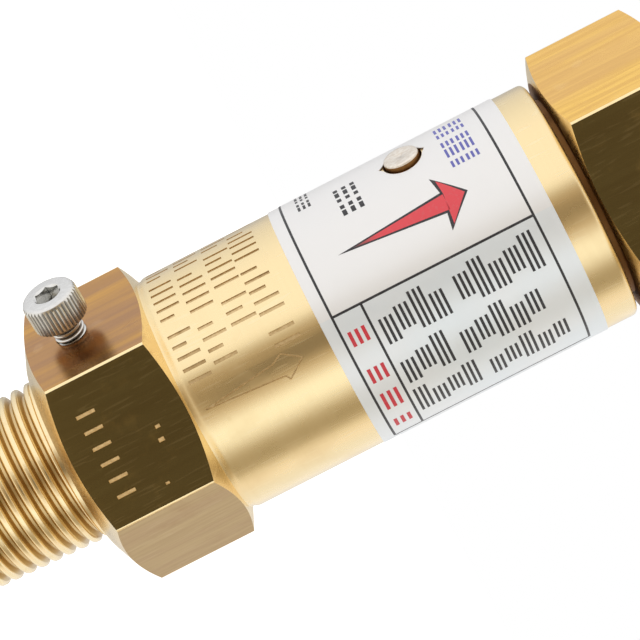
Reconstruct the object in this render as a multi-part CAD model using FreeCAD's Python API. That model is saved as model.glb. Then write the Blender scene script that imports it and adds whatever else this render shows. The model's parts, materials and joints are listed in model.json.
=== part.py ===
"""Straight-through spring-loaded pressure relief valve, in millimetres.

The valve stands upright: +Z is its axis and the way the gas flows. The origin is on the axis, at the
end of the male inlet thread. +X points out through the lock screw in the inlet hexagon.
Every function below makes one separate piece and returns its solid.
"""

import FreeCAD
import Part
import math
import os

# ---- driving dimensions: outside ----
NIPPLE_LENGTH = 18.5          # male inlet, from its end to the hexagon
HEX_FLATS = 32.0              # both hexagons, across flats
HEX_EDGE_BREAK = 0.2          # rounding along the hexagons' edges
INLET_HEX_HEIGHT = 16.6       # inlet hexagon, chamfers included
INLET_HEX_FACE_RADIUS = 13.0  # where its lower chamfer starts
INLET_CHAMFER_DEG = 24.0      # both its chamfers, from the plane of the end face
BARREL_RADIUS = 15.75
BARREL_LENGTH = 53.1          # from the inlet hexagon to the barrel's open end
BARREL_END_ROUND = 0.75
BARREL_EDGE_BREAK = 0.12      # on the barrel's lower edge, above the relief
RELIEF_WIDTH = 0.7            # turned relief between hexagon and barrel
RELIEF_DEPTH = 0.25
OUTLET_GAP = 0.8              # gap between the barrel's end and the outlet hexagon
OUTLET_HEX_HEIGHT = 15.8
OUTLET_FACE_RADIUS = 15.4     # where the outlet hexagon's lower chamfer starts
OUTLET_LOW_CHAMFER_DEG = 19.0
OUTLET_TOP_RADIUS = 14.9      # where its upper chamfer ends
OUTLET_TOP_CHAMFER_DEG = 30.0

# ---- driving dimensions: threads ----
PIPE_PITCH = 25.4 / 14        # 14 threads to the inch
PIPE_DEPTH = 1.162
PIPE_FLAT = PIPE_PITCH / 6    # width of a crest or root
INLET_GAUGE_RADIUS = 20.955 / 2
INLET_GAUGE_LENGTH = 8.2      # from the end to the plane with the gauge radius
INLET_TAPER = 1.0 / 32        # radius per length
INLET_NECK_WIDTH = 1.1        # thread relief against the hexagon
INLET_NECK_RADIUS = 9.3
INLET_END_CHAMFER = 0.9
OUTLET_MINOR_RADIUS = 24.117 / 2
OUTLET_MAJOR_RADIUS = 26.441 / 2
OUTLET_THREAD_DEPTH = 14.2    # from the mouth to the bottom of the thread relief
OUTLET_RELIEF_WIDTH = 1.6
OUTLET_MOUTH_CHAMFER = 1.4

# ---- driving dimensions: bores of the barrel, from the inlet up ----
INLET_BORE_RADIUS = 6.0
FLOOR_THICKNESS = 4.3         # from the hexagon's lower face to the floor of the chamber
NOZZLE_SOCKET_DEPTH = 4.2
CHAMBER_RADIUS = 12.3
ADJUSTER_THREAD_HEIGHT = 0.9  # how much wider the adjusting screw's thread is than the chamber
ADJUSTER_RUN_DOWN = 2.2       # how far that thread goes down past the adjusting screw
ADJUSTER_RUN_UP = 3.2         # how far it goes up past it, to the outlet socket
OUTLET_SOCKET_STEP = 0.7      # how much wider the outlet socket is than that thread
BORE_CHAMFER = 0.3

# ---- driving dimensions: nozzle and blowdown ring ----
NOZZLE_BORE_RADIUS = 5.75
NOZZLE_SPIGOT_RADIUS = 7.8
NOZZLE_STEM_RADIUS = 9.0
GASKET_THICKNESS = 0.5
NOZZLE_HEIGHT = 9.2           # from its shoulder to the seat
SEAT_INNER_RADIUS = 5.95
SEAT_OUTER_RADIUS = 6.6
SEAT_CONE_HEIGHT = 1.9
RING_HEIGHT = 6.4
RING_LIFT = 0.9               # from the nozzle's shoulder to the ring
RING_GAP = 0.7                # from the ring to the chamber's wall
RING_NOTCHES = 24
RING_NOTCH_WIDTH = 0.8
RING_NOTCH_DEPTH = 1.2

# ---- driving dimensions: lock screw, M4 x 6 ----
LOCK_SCREW_HEIGHT = 7.4       # from the hexagon's lower face to its axis
SCREW_RADIUS = 2.0
SCREW_PITCH = 0.7
SCREW_LENGTH = 6.0
SCREW_HEAD_RADIUS = 3.5
SCREW_HEAD_HEIGHT = 4.0
SCREW_HEAD_ROUND = 0.4
KNURL_RIDGES = 40
KNURL_DEPTH = 0.12
KEY_FLATS = 3.0
KEY_DEPTH = 2.2
PAD_THICKNESS = 0.75
PAD_GAP = 0.1                 # between the pad and the ring
PAD_UNDERSIZE = 0.1           # how much smaller its radius is than the screw's

# ---- driving dimensions: disc, spindle and spring ----
DISC_RADIUS = 7.85
DISC_THICKNESS = 2.5
SKIRT_CLEARANCE = 0.3         # around the nozzle
SKIRT_THICKNESS = 1.6
SKIRT_OVERLAP = 1.3           # how far it hangs below the seat
HOLDER_PLATE = 2.5            # holder's thickness above the disc
VANES = 4
VANE_THICKNESS = 2.4
HUB_RADIUS = 5.5
HUB_HEIGHT = 7.0
WASHER_RADIUS = 4.6
WASHER_THICKNESS = 0.9
CLAMP_SCREW_RADIUS = 1.5
CLAMP_HEAD_RADIUS = 2.75
CLAMP_HEAD_HEIGHT = 1.6
CLAMP_SLOT_WIDTH = 0.8
CLAMP_SLOT_DEPTH = 0.7
CLAMP_SCREW_GRIP = 2.0        # how far its shank goes into the holder
BALL_RADIUS = 2.0
BALL_DEPTH = 2.4              # from the top of the holder's hub down to the ball's centre
FOOT_RADIUS = 3.2
COLLAR_RADIUS = 4.8
COLLAR_HEIGHT = 1.4
SPINDLE_RADIUS = 3.4
GUIDED_RADIUS = 2.5
SPINDLE_STANDS_OUT = 4.1      # above the adjusting screw
LIFT = 3.0
LIFT_SPARE = 0.1              # gap left under the stop at full lift
SPRING_SEAT_RADIUS = 8.6
LOWER_SEAT_THICKNESS = 2.0
UPPER_SEAT_THICKNESS = 1.2
SEAT_BOSS_HEIGHT = 1.3
SPRING_LENGTH = 19.0          # as fitted, valve closed
SPRING_MEAN_RADIUS = 7.0
SPRING_WIRE_RADIUS = 1.2
SPRING_TURNS = 5.5

# ---- driving dimensions: adjusting screw, guide bush and lock pin ----
ADJUSTER_HEIGHT = 9.2
PORT_COUNT = 4
PORT_INNER_RADIUS = 8.8
PORT_WALL = 1.27              # from a port to the adjusting screw's rim
PORT_SPAN_DEG = 58.0
BUSH_RADIUS = 4.0
SPANNER_HOLE_RADIUS = 1.1
SPANNER_HOLE_DEPTH = 2.5
SPANNER_HOLE_PCD = 13.0
LOCK_PIN_RADIUS = 2.25
LOCK_PIN_PROUD = 0.75         # how far it stands out of the barrel
LOCK_PIN_BITE = 0.9           # how far it goes into the adjusting screw
LOCK_PIN_DEG = -4.3           # its bearing about the axis
LOCK_PIN_DOME = 0.15

# ---- driving dimensions: outlet connector ----
SPIGOT_CLEAR = 0.8            # from the socket's bottom to the spigot's end
SPIGOT_WALL = 1.2             # under the O-ring
CONNECTOR_NECK_RADIUS = 13.2
CONNECTOR_NECK_DEPTH = 1.6    # how far the neck reaches into the barrel
O_RING_WIRE_RADIUS = 0.7
O_RING_GROOVE_WIDTH = 2.2
O_RING_FROM_END = 1.2

# ---- driving dimensions: label ----
LABEL_MARGIN = 4.3            # from the label to the barrel's end
LABEL_WIDTH = 30.6
LABEL_THICKNESS = 0.12
LABEL_START_DEG = -200.0
LABEL_END_DEG = 140.0
LABEL_HOLE_CLEARANCE = 0.3

# ---- clearances ----
THREAD_GAP = 0.03             # between two threads that are screwed together
RUNNING_GAP = 0.05            # between a shaft and its bore
LOOSE_GAP = 0.15
GLUE_GAP = 0.02               # under the label
BALL_GAP = 0.02               # around the ball, in its two cups

# ---- heights and radii that follow from these ----
HEX_CORNER = HEX_FLATS / math.sqrt(3)
INLET_HEX_TOP_Z = NIPPLE_LENGTH + INLET_HEX_HEIGHT
BARREL_TOP_Z = INLET_HEX_TOP_Z + BARREL_LENGTH
OUTLET_FACE_Z = BARREL_TOP_Z + OUTLET_GAP
OUTLET_TOP_Z = OUTLET_FACE_Z + OUTLET_HEX_HEIGHT
FLOOR_Z = NIPPLE_LENGTH + FLOOR_THICKNESS
NOZZLE_SOCKET_Z = FLOOR_Z - NOZZLE_SOCKET_DEPTH
NOZZLE_SHOULDER_Z = FLOOR_Z + GASKET_THICKNESS
SEAT_Z = NOZZLE_SHOULDER_Z + NOZZLE_HEIGHT
RING_BOTTOM_Z = NOZZLE_SHOULDER_Z + RING_LIFT
RING_INNER_RADIUS = NOZZLE_STEM_RADIUS + RUNNING_GAP
RING_OUTER_RADIUS = CHAMBER_RADIUS - RING_GAP
LOCK_SCREW_Z = NIPPLE_LENGTH + LOCK_SCREW_HEIGHT
PAD_FACE_X = RING_OUTER_RADIUS + PAD_GAP
SCREW_TIP_X = PAD_FACE_X + PAD_THICKNESS
SCREW_HEAD_X = SCREW_TIP_X + SCREW_LENGTH
SKIRT_INNER_RADIUS = NOZZLE_STEM_RADIUS + SKIRT_CLEARANCE
SKIRT_OUTER_RADIUS = SKIRT_INNER_RADIUS + SKIRT_THICKNESS
DISC_TOP_Z = SEAT_Z + DISC_THICKNESS
HOLDER_TOP_Z = DISC_TOP_Z + HOLDER_PLATE
HUB_TOP_Z = DISC_TOP_Z + HUB_HEIGHT
BALL_Z = HUB_TOP_Z - BALL_DEPTH
COLLAR_Z = HUB_TOP_Z + 0.6
LOWER_SEAT_Z = COLLAR_Z + COLLAR_HEIGHT
SPRING_BOTTOM_Z = LOWER_SEAT_Z + LOWER_SEAT_THICKNESS
SPRING_TOP_Z = SPRING_BOTTOM_Z + SPRING_LENGTH
SPRING_INNER_RADIUS = SPRING_MEAN_RADIUS - SPRING_WIRE_RADIUS
SEAT_BOSS_RADIUS = SPRING_INNER_RADIUS - LOOSE_GAP
ADJUSTER_Z = SPRING_TOP_Z + UPPER_SEAT_THICKNESS
ADJUSTER_TOP_Z = ADJUSTER_Z + ADJUSTER_HEIGHT
ADJUSTER_THREAD_RADIUS = CHAMBER_RADIUS + ADJUSTER_THREAD_HEIGHT
CHAMBER_TOP_Z = ADJUSTER_Z - ADJUSTER_RUN_DOWN
SPINDLE_TOP_Z = ADJUSTER_TOP_Z + SPINDLE_STANDS_OUT
PORT_OUTER_RADIUS = ADJUSTER_THREAD_RADIUS - THREAD_GAP - PORT_WALL
LOCK_PIN_Z = ADJUSTER_Z + ADJUSTER_HEIGHT / 2
SOCKET_BOTTOM_Z = ADJUSTER_TOP_Z + ADJUSTER_RUN_UP
OUTLET_SOCKET_RADIUS = ADJUSTER_THREAD_RADIUS + OUTLET_SOCKET_STEP
SPIGOT_END_Z = SOCKET_BOTTOM_Z + SPIGOT_CLEAR
O_RING_Z = SPIGOT_END_Z + O_RING_FROM_END + O_RING_GROOVE_WIDTH / 2
O_RING_RADIUS = OUTLET_SOCKET_RADIUS - O_RING_WIRE_RADIUS
O_RING_FLOOR_RADIUS = O_RING_RADIUS - O_RING_WIRE_RADIUS
SPIGOT_BORE_RADIUS = O_RING_FLOOR_RADIUS - SPIGOT_WALL
LABEL_BOTTOM_Z = BARREL_TOP_Z - LABEL_MARGIN - LABEL_WIDTH
OVERSIZE = 4.0                # how far a cutting tool reaches past what it cuts

ORIGIN = FreeCAD.Vector(0, 0, 0)
UP = FreeCAD.Vector(0, 0, 1)
OUTWARD = FreeCAD.Vector(1, 0, 0)


def turned(points):
    """A solid of revolution about Z, from its half section as (radius, height) points."""
    section = [FreeCAD.Vector(radius, 0, height) for radius, height in points]
    face = Part.Face(Part.makePolygon(section + section[:1]))
    return face.revolve(ORIGIN, UP, 360)


def disc(radius, bottom, top):
    """A plain cylinder on the Z axis between two heights."""
    return Part.makeCylinder(radius, top - bottom, FreeCAD.Vector(0, 0, bottom))


def tube(outer, inner, bottom, top):
    """A plain tube on the Z axis between two heights."""
    return disc(outer, bottom, top).cut(disc(inner, bottom, top))


def rod_along_x(radius, start, end, height):
    """A cylinder along +X at the given height, from x = start to x = end."""
    return Part.makeCylinder(radius, end - start, FreeCAD.Vector(start, 0, height), OUTWARD)


def turned_about_z(shape, degrees):
    """A copy of a shape, turned about the valve's axis."""
    copy = shape.copy()
    copy.rotate(ORIGIN, UP, degrees)
    return copy


def hexagon(flats, bottom, top):
    """A hexagonal bar on the Z axis, with a flat facing +X."""
    corner = flats / math.sqrt(3)
    turns = [math.radians(60 * k + 30) for k in range(7)]
    points = [FreeCAD.Vector(corner * math.cos(a), corner * math.sin(a), bottom) for a in turns]
    return Part.Face(Part.makePolygon(points)).extrude(FreeCAD.Vector(0, 0, top - bottom))


def broken_edges(solid, radius, wanted):
    """The solid with a small round on the edges that wanted picks."""
    return solid.makeFillet(radius, [edge for edge in solid.Edges if wanted(edge)])


def is_flat_edge(edge):
    """Is this one of a hexagon's edges, along the axis or where a chamfer cuts a flat?"""
    box = edge.BoundBox
    middle = edge.valueAt((edge.FirstParameter + edge.LastParameter) / 2)
    radius = math.hypot(middle.x, middle.y)
    on_flat = radius > HEX_FLATS / 2 - 0.01
    return on_flat and (box.XLength > 0.01 or box.ZLength > 1)


def thread_cutter(radius, pitch, depth, flat, bottom, top, taper=0.0):
    """The helical groove of a right-hand male thread, as a solid to cut with.

    radius is the crest's at the bottom of the helix, and taper is how fast it grows with height.
    """
    half_root = flat / 2
    half_crest = (pitch - flat) / 2
    slope = (half_crest - half_root) / depth
    reach = 0.12 * pitch
    points = [
        (radius + reach, -half_crest - slope * reach),
        (radius - depth, -half_root),
        (radius - depth, half_root),
        (radius + reach, half_crest + slope * reach),
    ]
    section = [FreeCAD.Vector(r, 0, h) for r, h in points]
    profile = Part.makePolygon(section + section[:1])
    helix = Part.makeLongHelix(pitch, top - bottom, radius, math.degrees(math.atan(taper)))
    cutter = Part.Wire(helix.Edges).makePipeShell([profile], True, True)
    cutter.translate(FreeCAD.Vector(0, 0, bottom))
    return cutter


def hex_block(bottom, face_radius, low_deg, top, top_radius, top_deg):
    """A hexagon whose two ends are turned to a cone, with its edges broken."""
    low = math.tan(math.radians(low_deg))
    high = math.tan(math.radians(top_deg))
    rim = HEX_CORNER + 1
    blank = turned([
        (0, bottom),
        (face_radius, bottom),
        (rim, bottom + (rim - face_radius) * low),
        (rim, top - (rim - top_radius) * high),
        (top_radius, top),
        (0, top),
    ])
    return broken_edges(blank.common(hexagon(HEX_FLATS, bottom, top)), HEX_EDGE_BREAK, is_flat_edge)


def inlet_radius(height):
    """The male thread's crest radius at a height."""
    return INLET_GAUGE_RADIUS + (height - INLET_GAUGE_LENGTH) * INLET_TAPER


def nipple():
    """The male taper-threaded inlet, solid, up to the hexagon."""
    neck = NIPPLE_LENGTH - INLET_NECK_WIDTH
    end_radius = inlet_radius(0) - INLET_END_CHAMFER
    slant = INLET_NECK_WIDTH / 3
    blank = turned([
        (0, 0),
        (end_radius, 0),
        (inlet_radius(INLET_END_CHAMFER), INLET_END_CHAMFER),
        (inlet_radius(neck), neck),
        (INLET_NECK_RADIUS, neck + slant),
        (INLET_NECK_RADIUS, NIPPLE_LENGTH),
        (0, NIPPLE_LENGTH),
    ])
    start = -PIPE_PITCH
    cutter = thread_cutter(
        inlet_radius(start), PIPE_PITCH, PIPE_DEPTH, PIPE_FLAT, start,
        NIPPLE_LENGTH - PIPE_PITCH / 2, INLET_TAPER,
    )
    return blank.cut(cutter)


def barrel():
    """The round part of the body above the hexagon, solid."""
    low = INLET_HEX_TOP_Z
    step = low + RELIEF_WIDTH
    blank = turned([
        (0, low),
        (BARREL_RADIUS - RELIEF_DEPTH, low),
        (BARREL_RADIUS - RELIEF_DEPTH, step),
        (BARREL_RADIUS - BARREL_EDGE_BREAK, step),
        (BARREL_RADIUS, step + BARREL_EDGE_BREAK),
        (BARREL_RADIUS, BARREL_TOP_Z),
        (0, BARREL_TOP_Z),
    ])

    def is_end(edge):
        box = edge.BoundBox
        return box.ZMin > BARREL_TOP_Z - 0.01 and box.XLength > BARREL_RADIUS

    return broken_edges(blank, BARREL_END_ROUND, is_end)


def body_bores():
    """The stepped hole through the body, as one turned solid to cut with."""
    spigot = NOZZLE_SPIGOT_RADIUS + THREAD_GAP
    return turned([
        (0, -OVERSIZE),
        (INLET_BORE_RADIUS + BORE_CHAMFER, -OVERSIZE),
        (INLET_BORE_RADIUS + BORE_CHAMFER, 0),
        (INLET_BORE_RADIUS, BORE_CHAMFER),
        (INLET_BORE_RADIUS, NOZZLE_SOCKET_Z),
        (spigot, NOZZLE_SOCKET_Z),
        (spigot, FLOOR_Z),
        (CHAMBER_RADIUS, FLOOR_Z),
        (CHAMBER_RADIUS, CHAMBER_TOP_Z),
        (ADJUSTER_THREAD_RADIUS, CHAMBER_TOP_Z + ADJUSTER_THREAD_RADIUS - CHAMBER_RADIUS),
        (ADJUSTER_THREAD_RADIUS, SOCKET_BOTTOM_Z),
        (OUTLET_SOCKET_RADIUS, SOCKET_BOTTOM_Z),
        (OUTLET_SOCKET_RADIUS, BARREL_TOP_Z - BORE_CHAMFER),
        (OUTLET_SOCKET_RADIUS + BORE_CHAMFER, BARREL_TOP_Z),
        (OUTLET_SOCKET_RADIUS + BORE_CHAMFER, BARREL_TOP_Z + OVERSIZE),
        (0, BARREL_TOP_Z + OVERSIZE),
    ])


def valve_body():
    """The one-piece body: threaded inlet, hexagon and barrel, bored through."""
    hex_part = hex_block(
        NIPPLE_LENGTH, INLET_HEX_FACE_RADIUS, INLET_CHAMFER_DEG,
        INLET_HEX_TOP_Z, BARREL_RADIUS - RELIEF_DEPTH, INLET_CHAMFER_DEG,
    )
    screw_hole = rod_along_x(
        SCREW_RADIUS + RUNNING_GAP, CHAMBER_RADIUS / 2, HEX_CORNER + OVERSIZE, LOCK_SCREW_Z
    )
    pin_hole = rod_along_x(
        LOCK_PIN_RADIUS, CHAMBER_RADIUS / 2, BARREL_RADIUS + OVERSIZE, LOCK_PIN_Z
    )
    solid = nipple().fuse([hex_part, barrel()])
    return solid.cut([body_bores(), screw_hole, turned_about_z(pin_hole, LOCK_PIN_DEG)])


def seat_nozzle():
    """The nozzle, whose upper lip is the valve's seat."""
    return turned([
        (NOZZLE_BORE_RADIUS, NOZZLE_SOCKET_Z),
        (NOZZLE_SPIGOT_RADIUS, NOZZLE_SOCKET_Z),
        (NOZZLE_SPIGOT_RADIUS, NOZZLE_SHOULDER_Z),
        (NOZZLE_STEM_RADIUS, NOZZLE_SHOULDER_Z),
        (NOZZLE_STEM_RADIUS, SEAT_Z - SEAT_CONE_HEIGHT),
        (SEAT_OUTER_RADIUS + 0.3, SEAT_Z - 0.3),
        (SEAT_OUTER_RADIUS, SEAT_Z),
        (SEAT_INNER_RADIUS, SEAT_Z),
        (NOZZLE_BORE_RADIUS, SEAT_Z - 0.3),
    ])


def nozzle_gasket():
    """The flat gasket between the nozzle's shoulder and the chamber's floor."""
    inner = NOZZLE_SPIGOT_RADIUS + THREAD_GAP
    return tube(NOZZLE_STEM_RADIUS, inner, FLOOR_Z, NOZZLE_SHOULDER_Z)


def blowdown_ring():
    """The notched ring on the nozzle that sets how soon the valve shuts again."""
    top = RING_BOTTOM_Z + RING_HEIGHT
    ring = tube(RING_OUTER_RADIUS, RING_INNER_RADIUS, RING_BOTTOM_Z, top)
    middle = (RING_INNER_RADIUS + RING_OUTER_RADIUS) / 2
    notch = Part.makeBox(
        OVERSIZE, RING_NOTCH_WIDTH, OVERSIZE,
        FreeCAD.Vector(middle, -RING_NOTCH_WIDTH / 2, top - RING_NOTCH_DEPTH),
    )
    step = 360 / RING_NOTCHES
    return ring.cut([turned_about_z(notch, step * (k + 0.5)) for k in range(RING_NOTCHES)])


def lock_pad():
    """The soft slug that the lock screw presses on the blowdown ring."""
    return rod_along_x(SCREW_RADIUS - PAD_UNDERSIZE, PAD_FACE_X, SCREW_TIP_X, LOCK_SCREW_Z)


def knurled_head():
    """The screw's head standing on Z = 0, with straight knurling and rounded edges."""
    points = []
    for k in range(2 * KNURL_RIDGES):
        radius = SCREW_HEAD_RADIUS - KNURL_DEPTH * (k % 2)
        angle = math.pi * k / KNURL_RIDGES
        points.append(FreeCAD.Vector(radius * math.cos(angle), radius * math.sin(angle), 0))
    bar = Part.Face(Part.makePolygon(points + points[:1])).extrude(UP * SCREW_HEAD_HEIGHT)
    edge = SCREW_HEAD_RADIUS - SCREW_HEAD_ROUND
    waist = SCREW_HEAD_ROUND / 2
    form = turned([
        (0, 0),
        (SCREW_HEAD_RADIUS - waist, 0),
        (SCREW_HEAD_RADIUS + 0.01, waist),
        (SCREW_HEAD_RADIUS + 0.01, SCREW_HEAD_HEIGHT - SCREW_HEAD_ROUND),
        (edge, SCREW_HEAD_HEIGHT),
        (0, SCREW_HEAD_HEIGHT),
    ])
    socket = hexagon(KEY_FLATS, SCREW_HEAD_HEIGHT - KEY_DEPTH, SCREW_HEAD_HEIGHT + OVERSIZE)
    bottom = Part.makeCone(
        0, KEY_FLATS / 2, KEY_FLATS / 4,
        FreeCAD.Vector(0, 0, SCREW_HEAD_HEIGHT - KEY_DEPTH - KEY_FLATS / 4),
    )
    return bar.common(form).cut([socket, bottom])


def lock_screw():
    """The M4 socket head cap screw in the inlet hexagon, threaded along its whole shank."""
    tip = 0.5
    shank = turned([
        (0, -SCREW_LENGTH),
        (SCREW_RADIUS - tip, -SCREW_LENGTH),
        (SCREW_RADIUS, tip - SCREW_LENGTH),
        (SCREW_RADIUS, 0),
        (0, 0),
    ])
    depth = 0.6134 * SCREW_PITCH
    cutter = thread_cutter(
        SCREW_RADIUS, SCREW_PITCH, depth, SCREW_PITCH / 8, -SCREW_LENGTH - SCREW_PITCH, -SCREW_PITCH
    )
    screw = knurled_head().fuse(shank.cut(cutter))
    screw.rotate(ORIGIN, FreeCAD.Vector(0, 1, 0), 90)
    screw.translate(FreeCAD.Vector(SCREW_HEAD_X, 0, LOCK_SCREW_Z))
    return screw


def clamp_screw_hole(bottom, top):
    """A clearance hole for the screw that clamps the disc."""
    return disc(CLAMP_SCREW_RADIUS + THREAD_GAP, bottom, top)


def disc_holder():
    """The guided carrier of the soft disc, with a skirt around the nozzle and four vanes."""
    pocket = DISC_RADIUS + RUNNING_GAP
    rim_z = SEAT_Z + 0.4
    form = turned([
        (0, DISC_TOP_Z),
        (pocket, DISC_TOP_Z),
        (pocket, rim_z),
        (SKIRT_INNER_RADIUS, rim_z),
        (SKIRT_INNER_RADIUS, SEAT_Z - SKIRT_OVERLAP),
        (SKIRT_OUTER_RADIUS, SEAT_Z - SKIRT_OVERLAP),
        (SKIRT_OUTER_RADIUS, HOLDER_TOP_Z),
        (HUB_RADIUS, HOLDER_TOP_Z),
        (HUB_RADIUS, HUB_TOP_Z),
        (0, HUB_TOP_Z),
    ])
    vane_radius = CHAMBER_RADIUS - RUNNING_GAP
    bar = Part.makeBox(
        2 * CHAMBER_RADIUS, VANE_THICKNESS, HUB_TOP_Z - DISC_TOP_Z,
        FreeCAD.Vector(-CHAMBER_RADIUS, -VANE_THICKNESS / 2, DISC_TOP_Z),
    )
    bars = [turned_about_z(bar, 45 + 360 * k / VANES) for k in range(VANES // 2)]
    vanes = disc(vane_radius, DISC_TOP_Z, HUB_TOP_Z).common(bars[0].fuse(bars[1:]))
    socket = disc(FOOT_RADIUS + RUNNING_GAP, BALL_Z - 0.8, HUB_TOP_Z + OVERSIZE)
    cup = Part.makeSphere(BALL_RADIUS + BALL_GAP, FreeCAD.Vector(0, 0, BALL_Z))
    hole = clamp_screw_hole(DISC_TOP_Z - OVERSIZE, DISC_TOP_Z + CLAMP_SCREW_GRIP)
    return form.fuse(vanes).cut([socket, cup, hole])


def seat_disc():
    """The soft disc that closes on the nozzle's lip."""
    return tube(DISC_RADIUS, CLAMP_SCREW_RADIUS + THREAD_GAP, SEAT_Z, DISC_TOP_Z)


def disc_clamp_washer():
    """The washer that clamps the soft disc from below, inside the nozzle's bore."""
    inner = CLAMP_SCREW_RADIUS + THREAD_GAP
    return tube(WASHER_RADIUS, inner, SEAT_Z - WASHER_THICKNESS, SEAT_Z)


def disc_clamp_screw():
    """The slotted screw through the washer and the disc into the holder."""
    seat = SEAT_Z - WASHER_THICKNESS
    base = seat - CLAMP_HEAD_HEIGHT
    tip = DISC_TOP_Z + CLAMP_SCREW_GRIP - 0.2
    head = disc(CLAMP_HEAD_RADIUS, base, seat)
    head = broken_edges(head, 0.5, lambda edge: edge.BoundBox.ZMax < base + 0.01)
    slot = Part.makeBox(
        2 * CLAMP_HEAD_RADIUS, CLAMP_SLOT_WIDTH, CLAMP_SLOT_DEPTH,
        FreeCAD.Vector(-CLAMP_HEAD_RADIUS, -CLAMP_SLOT_WIDTH / 2, base),
    )
    return head.cut(slot).fuse(disc(CLAMP_SCREW_RADIUS, seat, tip))


def thrust_ball():
    """The ball that centres the spindle's push on the disc holder."""
    return Part.makeSphere(BALL_RADIUS, FreeCAD.Vector(0, 0, BALL_Z))


def spindle():
    """The spindle: a foot on the ball, a collar under the spring, and a guided end."""
    foot = BALL_Z + 0.6
    stop = ADJUSTER_Z - LIFT - LIFT_SPARE
    chamfer = 0.5
    form = turned([
        (0, foot),
        (FOOT_RADIUS, foot),
        (FOOT_RADIUS, COLLAR_Z),
        (COLLAR_RADIUS, COLLAR_Z),
        (COLLAR_RADIUS, LOWER_SEAT_Z),
        (SPINDLE_RADIUS, LOWER_SEAT_Z),
        (SPINDLE_RADIUS, stop),
        (GUIDED_RADIUS, stop),
        (GUIDED_RADIUS, SPINDLE_TOP_Z - chamfer),
        (GUIDED_RADIUS - chamfer, SPINDLE_TOP_Z),
        (0, SPINDLE_TOP_Z),
    ])
    return form.cut(Part.makeSphere(BALL_RADIUS + BALL_GAP, FreeCAD.Vector(0, 0, BALL_Z)))


def lower_spring_seat():
    """The seat on the spindle's collar, with a boss inside the spring."""
    inner = SPINDLE_RADIUS + THREAD_GAP
    return turned([
        (inner, LOWER_SEAT_Z),
        (SPRING_SEAT_RADIUS, LOWER_SEAT_Z),
        (SPRING_SEAT_RADIUS, SPRING_BOTTOM_Z),
        (SEAT_BOSS_RADIUS, SPRING_BOTTOM_Z),
        (SEAT_BOSS_RADIUS, SPRING_BOTTOM_Z + SEAT_BOSS_HEIGHT),
        (inner, SPRING_BOTTOM_Z + SEAT_BOSS_HEIGHT),
    ])


def main_spring():
    """The closing spring, with its ends ground flat."""
    start = SPRING_WIRE_RADIUS / 4
    rise = SPRING_LENGTH - 2 * start
    helix = Part.makeLongHelix(rise / SPRING_TURNS, rise, SPRING_MEAN_RADIUS, 0.0)
    centre = FreeCAD.Vector(SPRING_MEAN_RADIUS, 0, 0)
    circle = Part.Wire(Part.makeCircle(SPRING_WIRE_RADIUS, centre, FreeCAD.Vector(0, 1, 0)))
    coil = Part.Wire(helix.Edges).makePipeShell([circle], True, True)
    coil.translate(FreeCAD.Vector(0, 0, SPRING_BOTTOM_Z + start))
    reach = SPRING_MEAN_RADIUS + OVERSIZE
    corner = FreeCAD.Vector(-reach, -reach, SPRING_BOTTOM_Z - OVERSIZE)
    below = Part.makeBox(2 * reach, 2 * reach, OVERSIZE, corner)
    above = below.copy()
    above.translate(FreeCAD.Vector(0, 0, OVERSIZE + SPRING_LENGTH))
    return coil.cut(below).cut(above)


def upper_spring_seat():
    """The thrust washer between the spring and the adjusting screw."""
    inner = SPINDLE_RADIUS + LOOSE_GAP
    return turned([
        (inner, SPRING_TOP_Z - SEAT_BOSS_HEIGHT),
        (SEAT_BOSS_RADIUS, SPRING_TOP_Z - SEAT_BOSS_HEIGHT),
        (SEAT_BOSS_RADIUS, SPRING_TOP_Z),
        (SPRING_SEAT_RADIUS, SPRING_TOP_Z),
        (SPRING_SEAT_RADIUS, ADJUSTER_Z),
        (inner, ADJUSTER_Z),
    ])


def kidney_port(bottom, top):
    """One gas port of the adjusting screw, with round ends, centred on +X."""
    middle = (PORT_INNER_RADIUS + PORT_OUTER_RADIUS) / 2
    half_width = (PORT_OUTER_RADIUS - PORT_INNER_RADIUS) / 2
    half_span = PORT_SPAN_DEG / 2 - math.degrees(half_width / middle)
    height = top - bottom
    low = FreeCAD.Vector(0, 0, bottom)
    ring = Part.makeCylinder(PORT_OUTER_RADIUS, height, low, UP, 2 * half_span)
    ring = ring.cut(disc(PORT_INNER_RADIUS, bottom, top))
    ring = turned_about_z(ring, -half_span)
    end = Part.makeCylinder(half_width, height, FreeCAD.Vector(middle, 0, bottom))
    return ring.fuse([turned_about_z(end, -half_span), turned_about_z(end, half_span)])


def adjusting_screw():
    """The ported screw that sets the spring's load."""
    rim = ADJUSTER_THREAD_RADIUS - THREAD_GAP
    blank = disc(rim, ADJUSTER_Z, ADJUSTER_TOP_Z)
    port = kidney_port(ADJUSTER_Z - 1, ADJUSTER_TOP_Z + 1)
    step = 360 / PORT_COUNT
    ports = [turned_about_z(port, LOCK_PIN_DEG + step * (k + 0.5)) for k in range(PORT_COUNT)]
    hole = Part.makeCylinder(
        SPANNER_HOLE_RADIUS, SPANNER_HOLE_DEPTH + 1,
        FreeCAD.Vector(SPANNER_HOLE_PCD / 2, 0, ADJUSTER_TOP_Z - SPANNER_HOLE_DEPTH),
    )
    holes = [turned_about_z(hole, turn) for turn in (0, 180)]
    pin_hole = rod_along_x(LOCK_PIN_RADIUS, rim - LOCK_PIN_BITE, rim + OVERSIZE, LOCK_PIN_Z)
    bore = disc(BUSH_RADIUS, ADJUSTER_Z - 1, ADJUSTER_TOP_Z + 1)
    return blank.cut([bore, turned_about_z(pin_hole, LOCK_PIN_DEG)] + ports + holes)


def spindle_guide_bush():
    """The plain bearing in the adjusting screw that guides the spindle."""
    return tube(BUSH_RADIUS, GUIDED_RADIUS + RUNNING_GAP, ADJUSTER_Z, ADJUSTER_TOP_Z)


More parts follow.
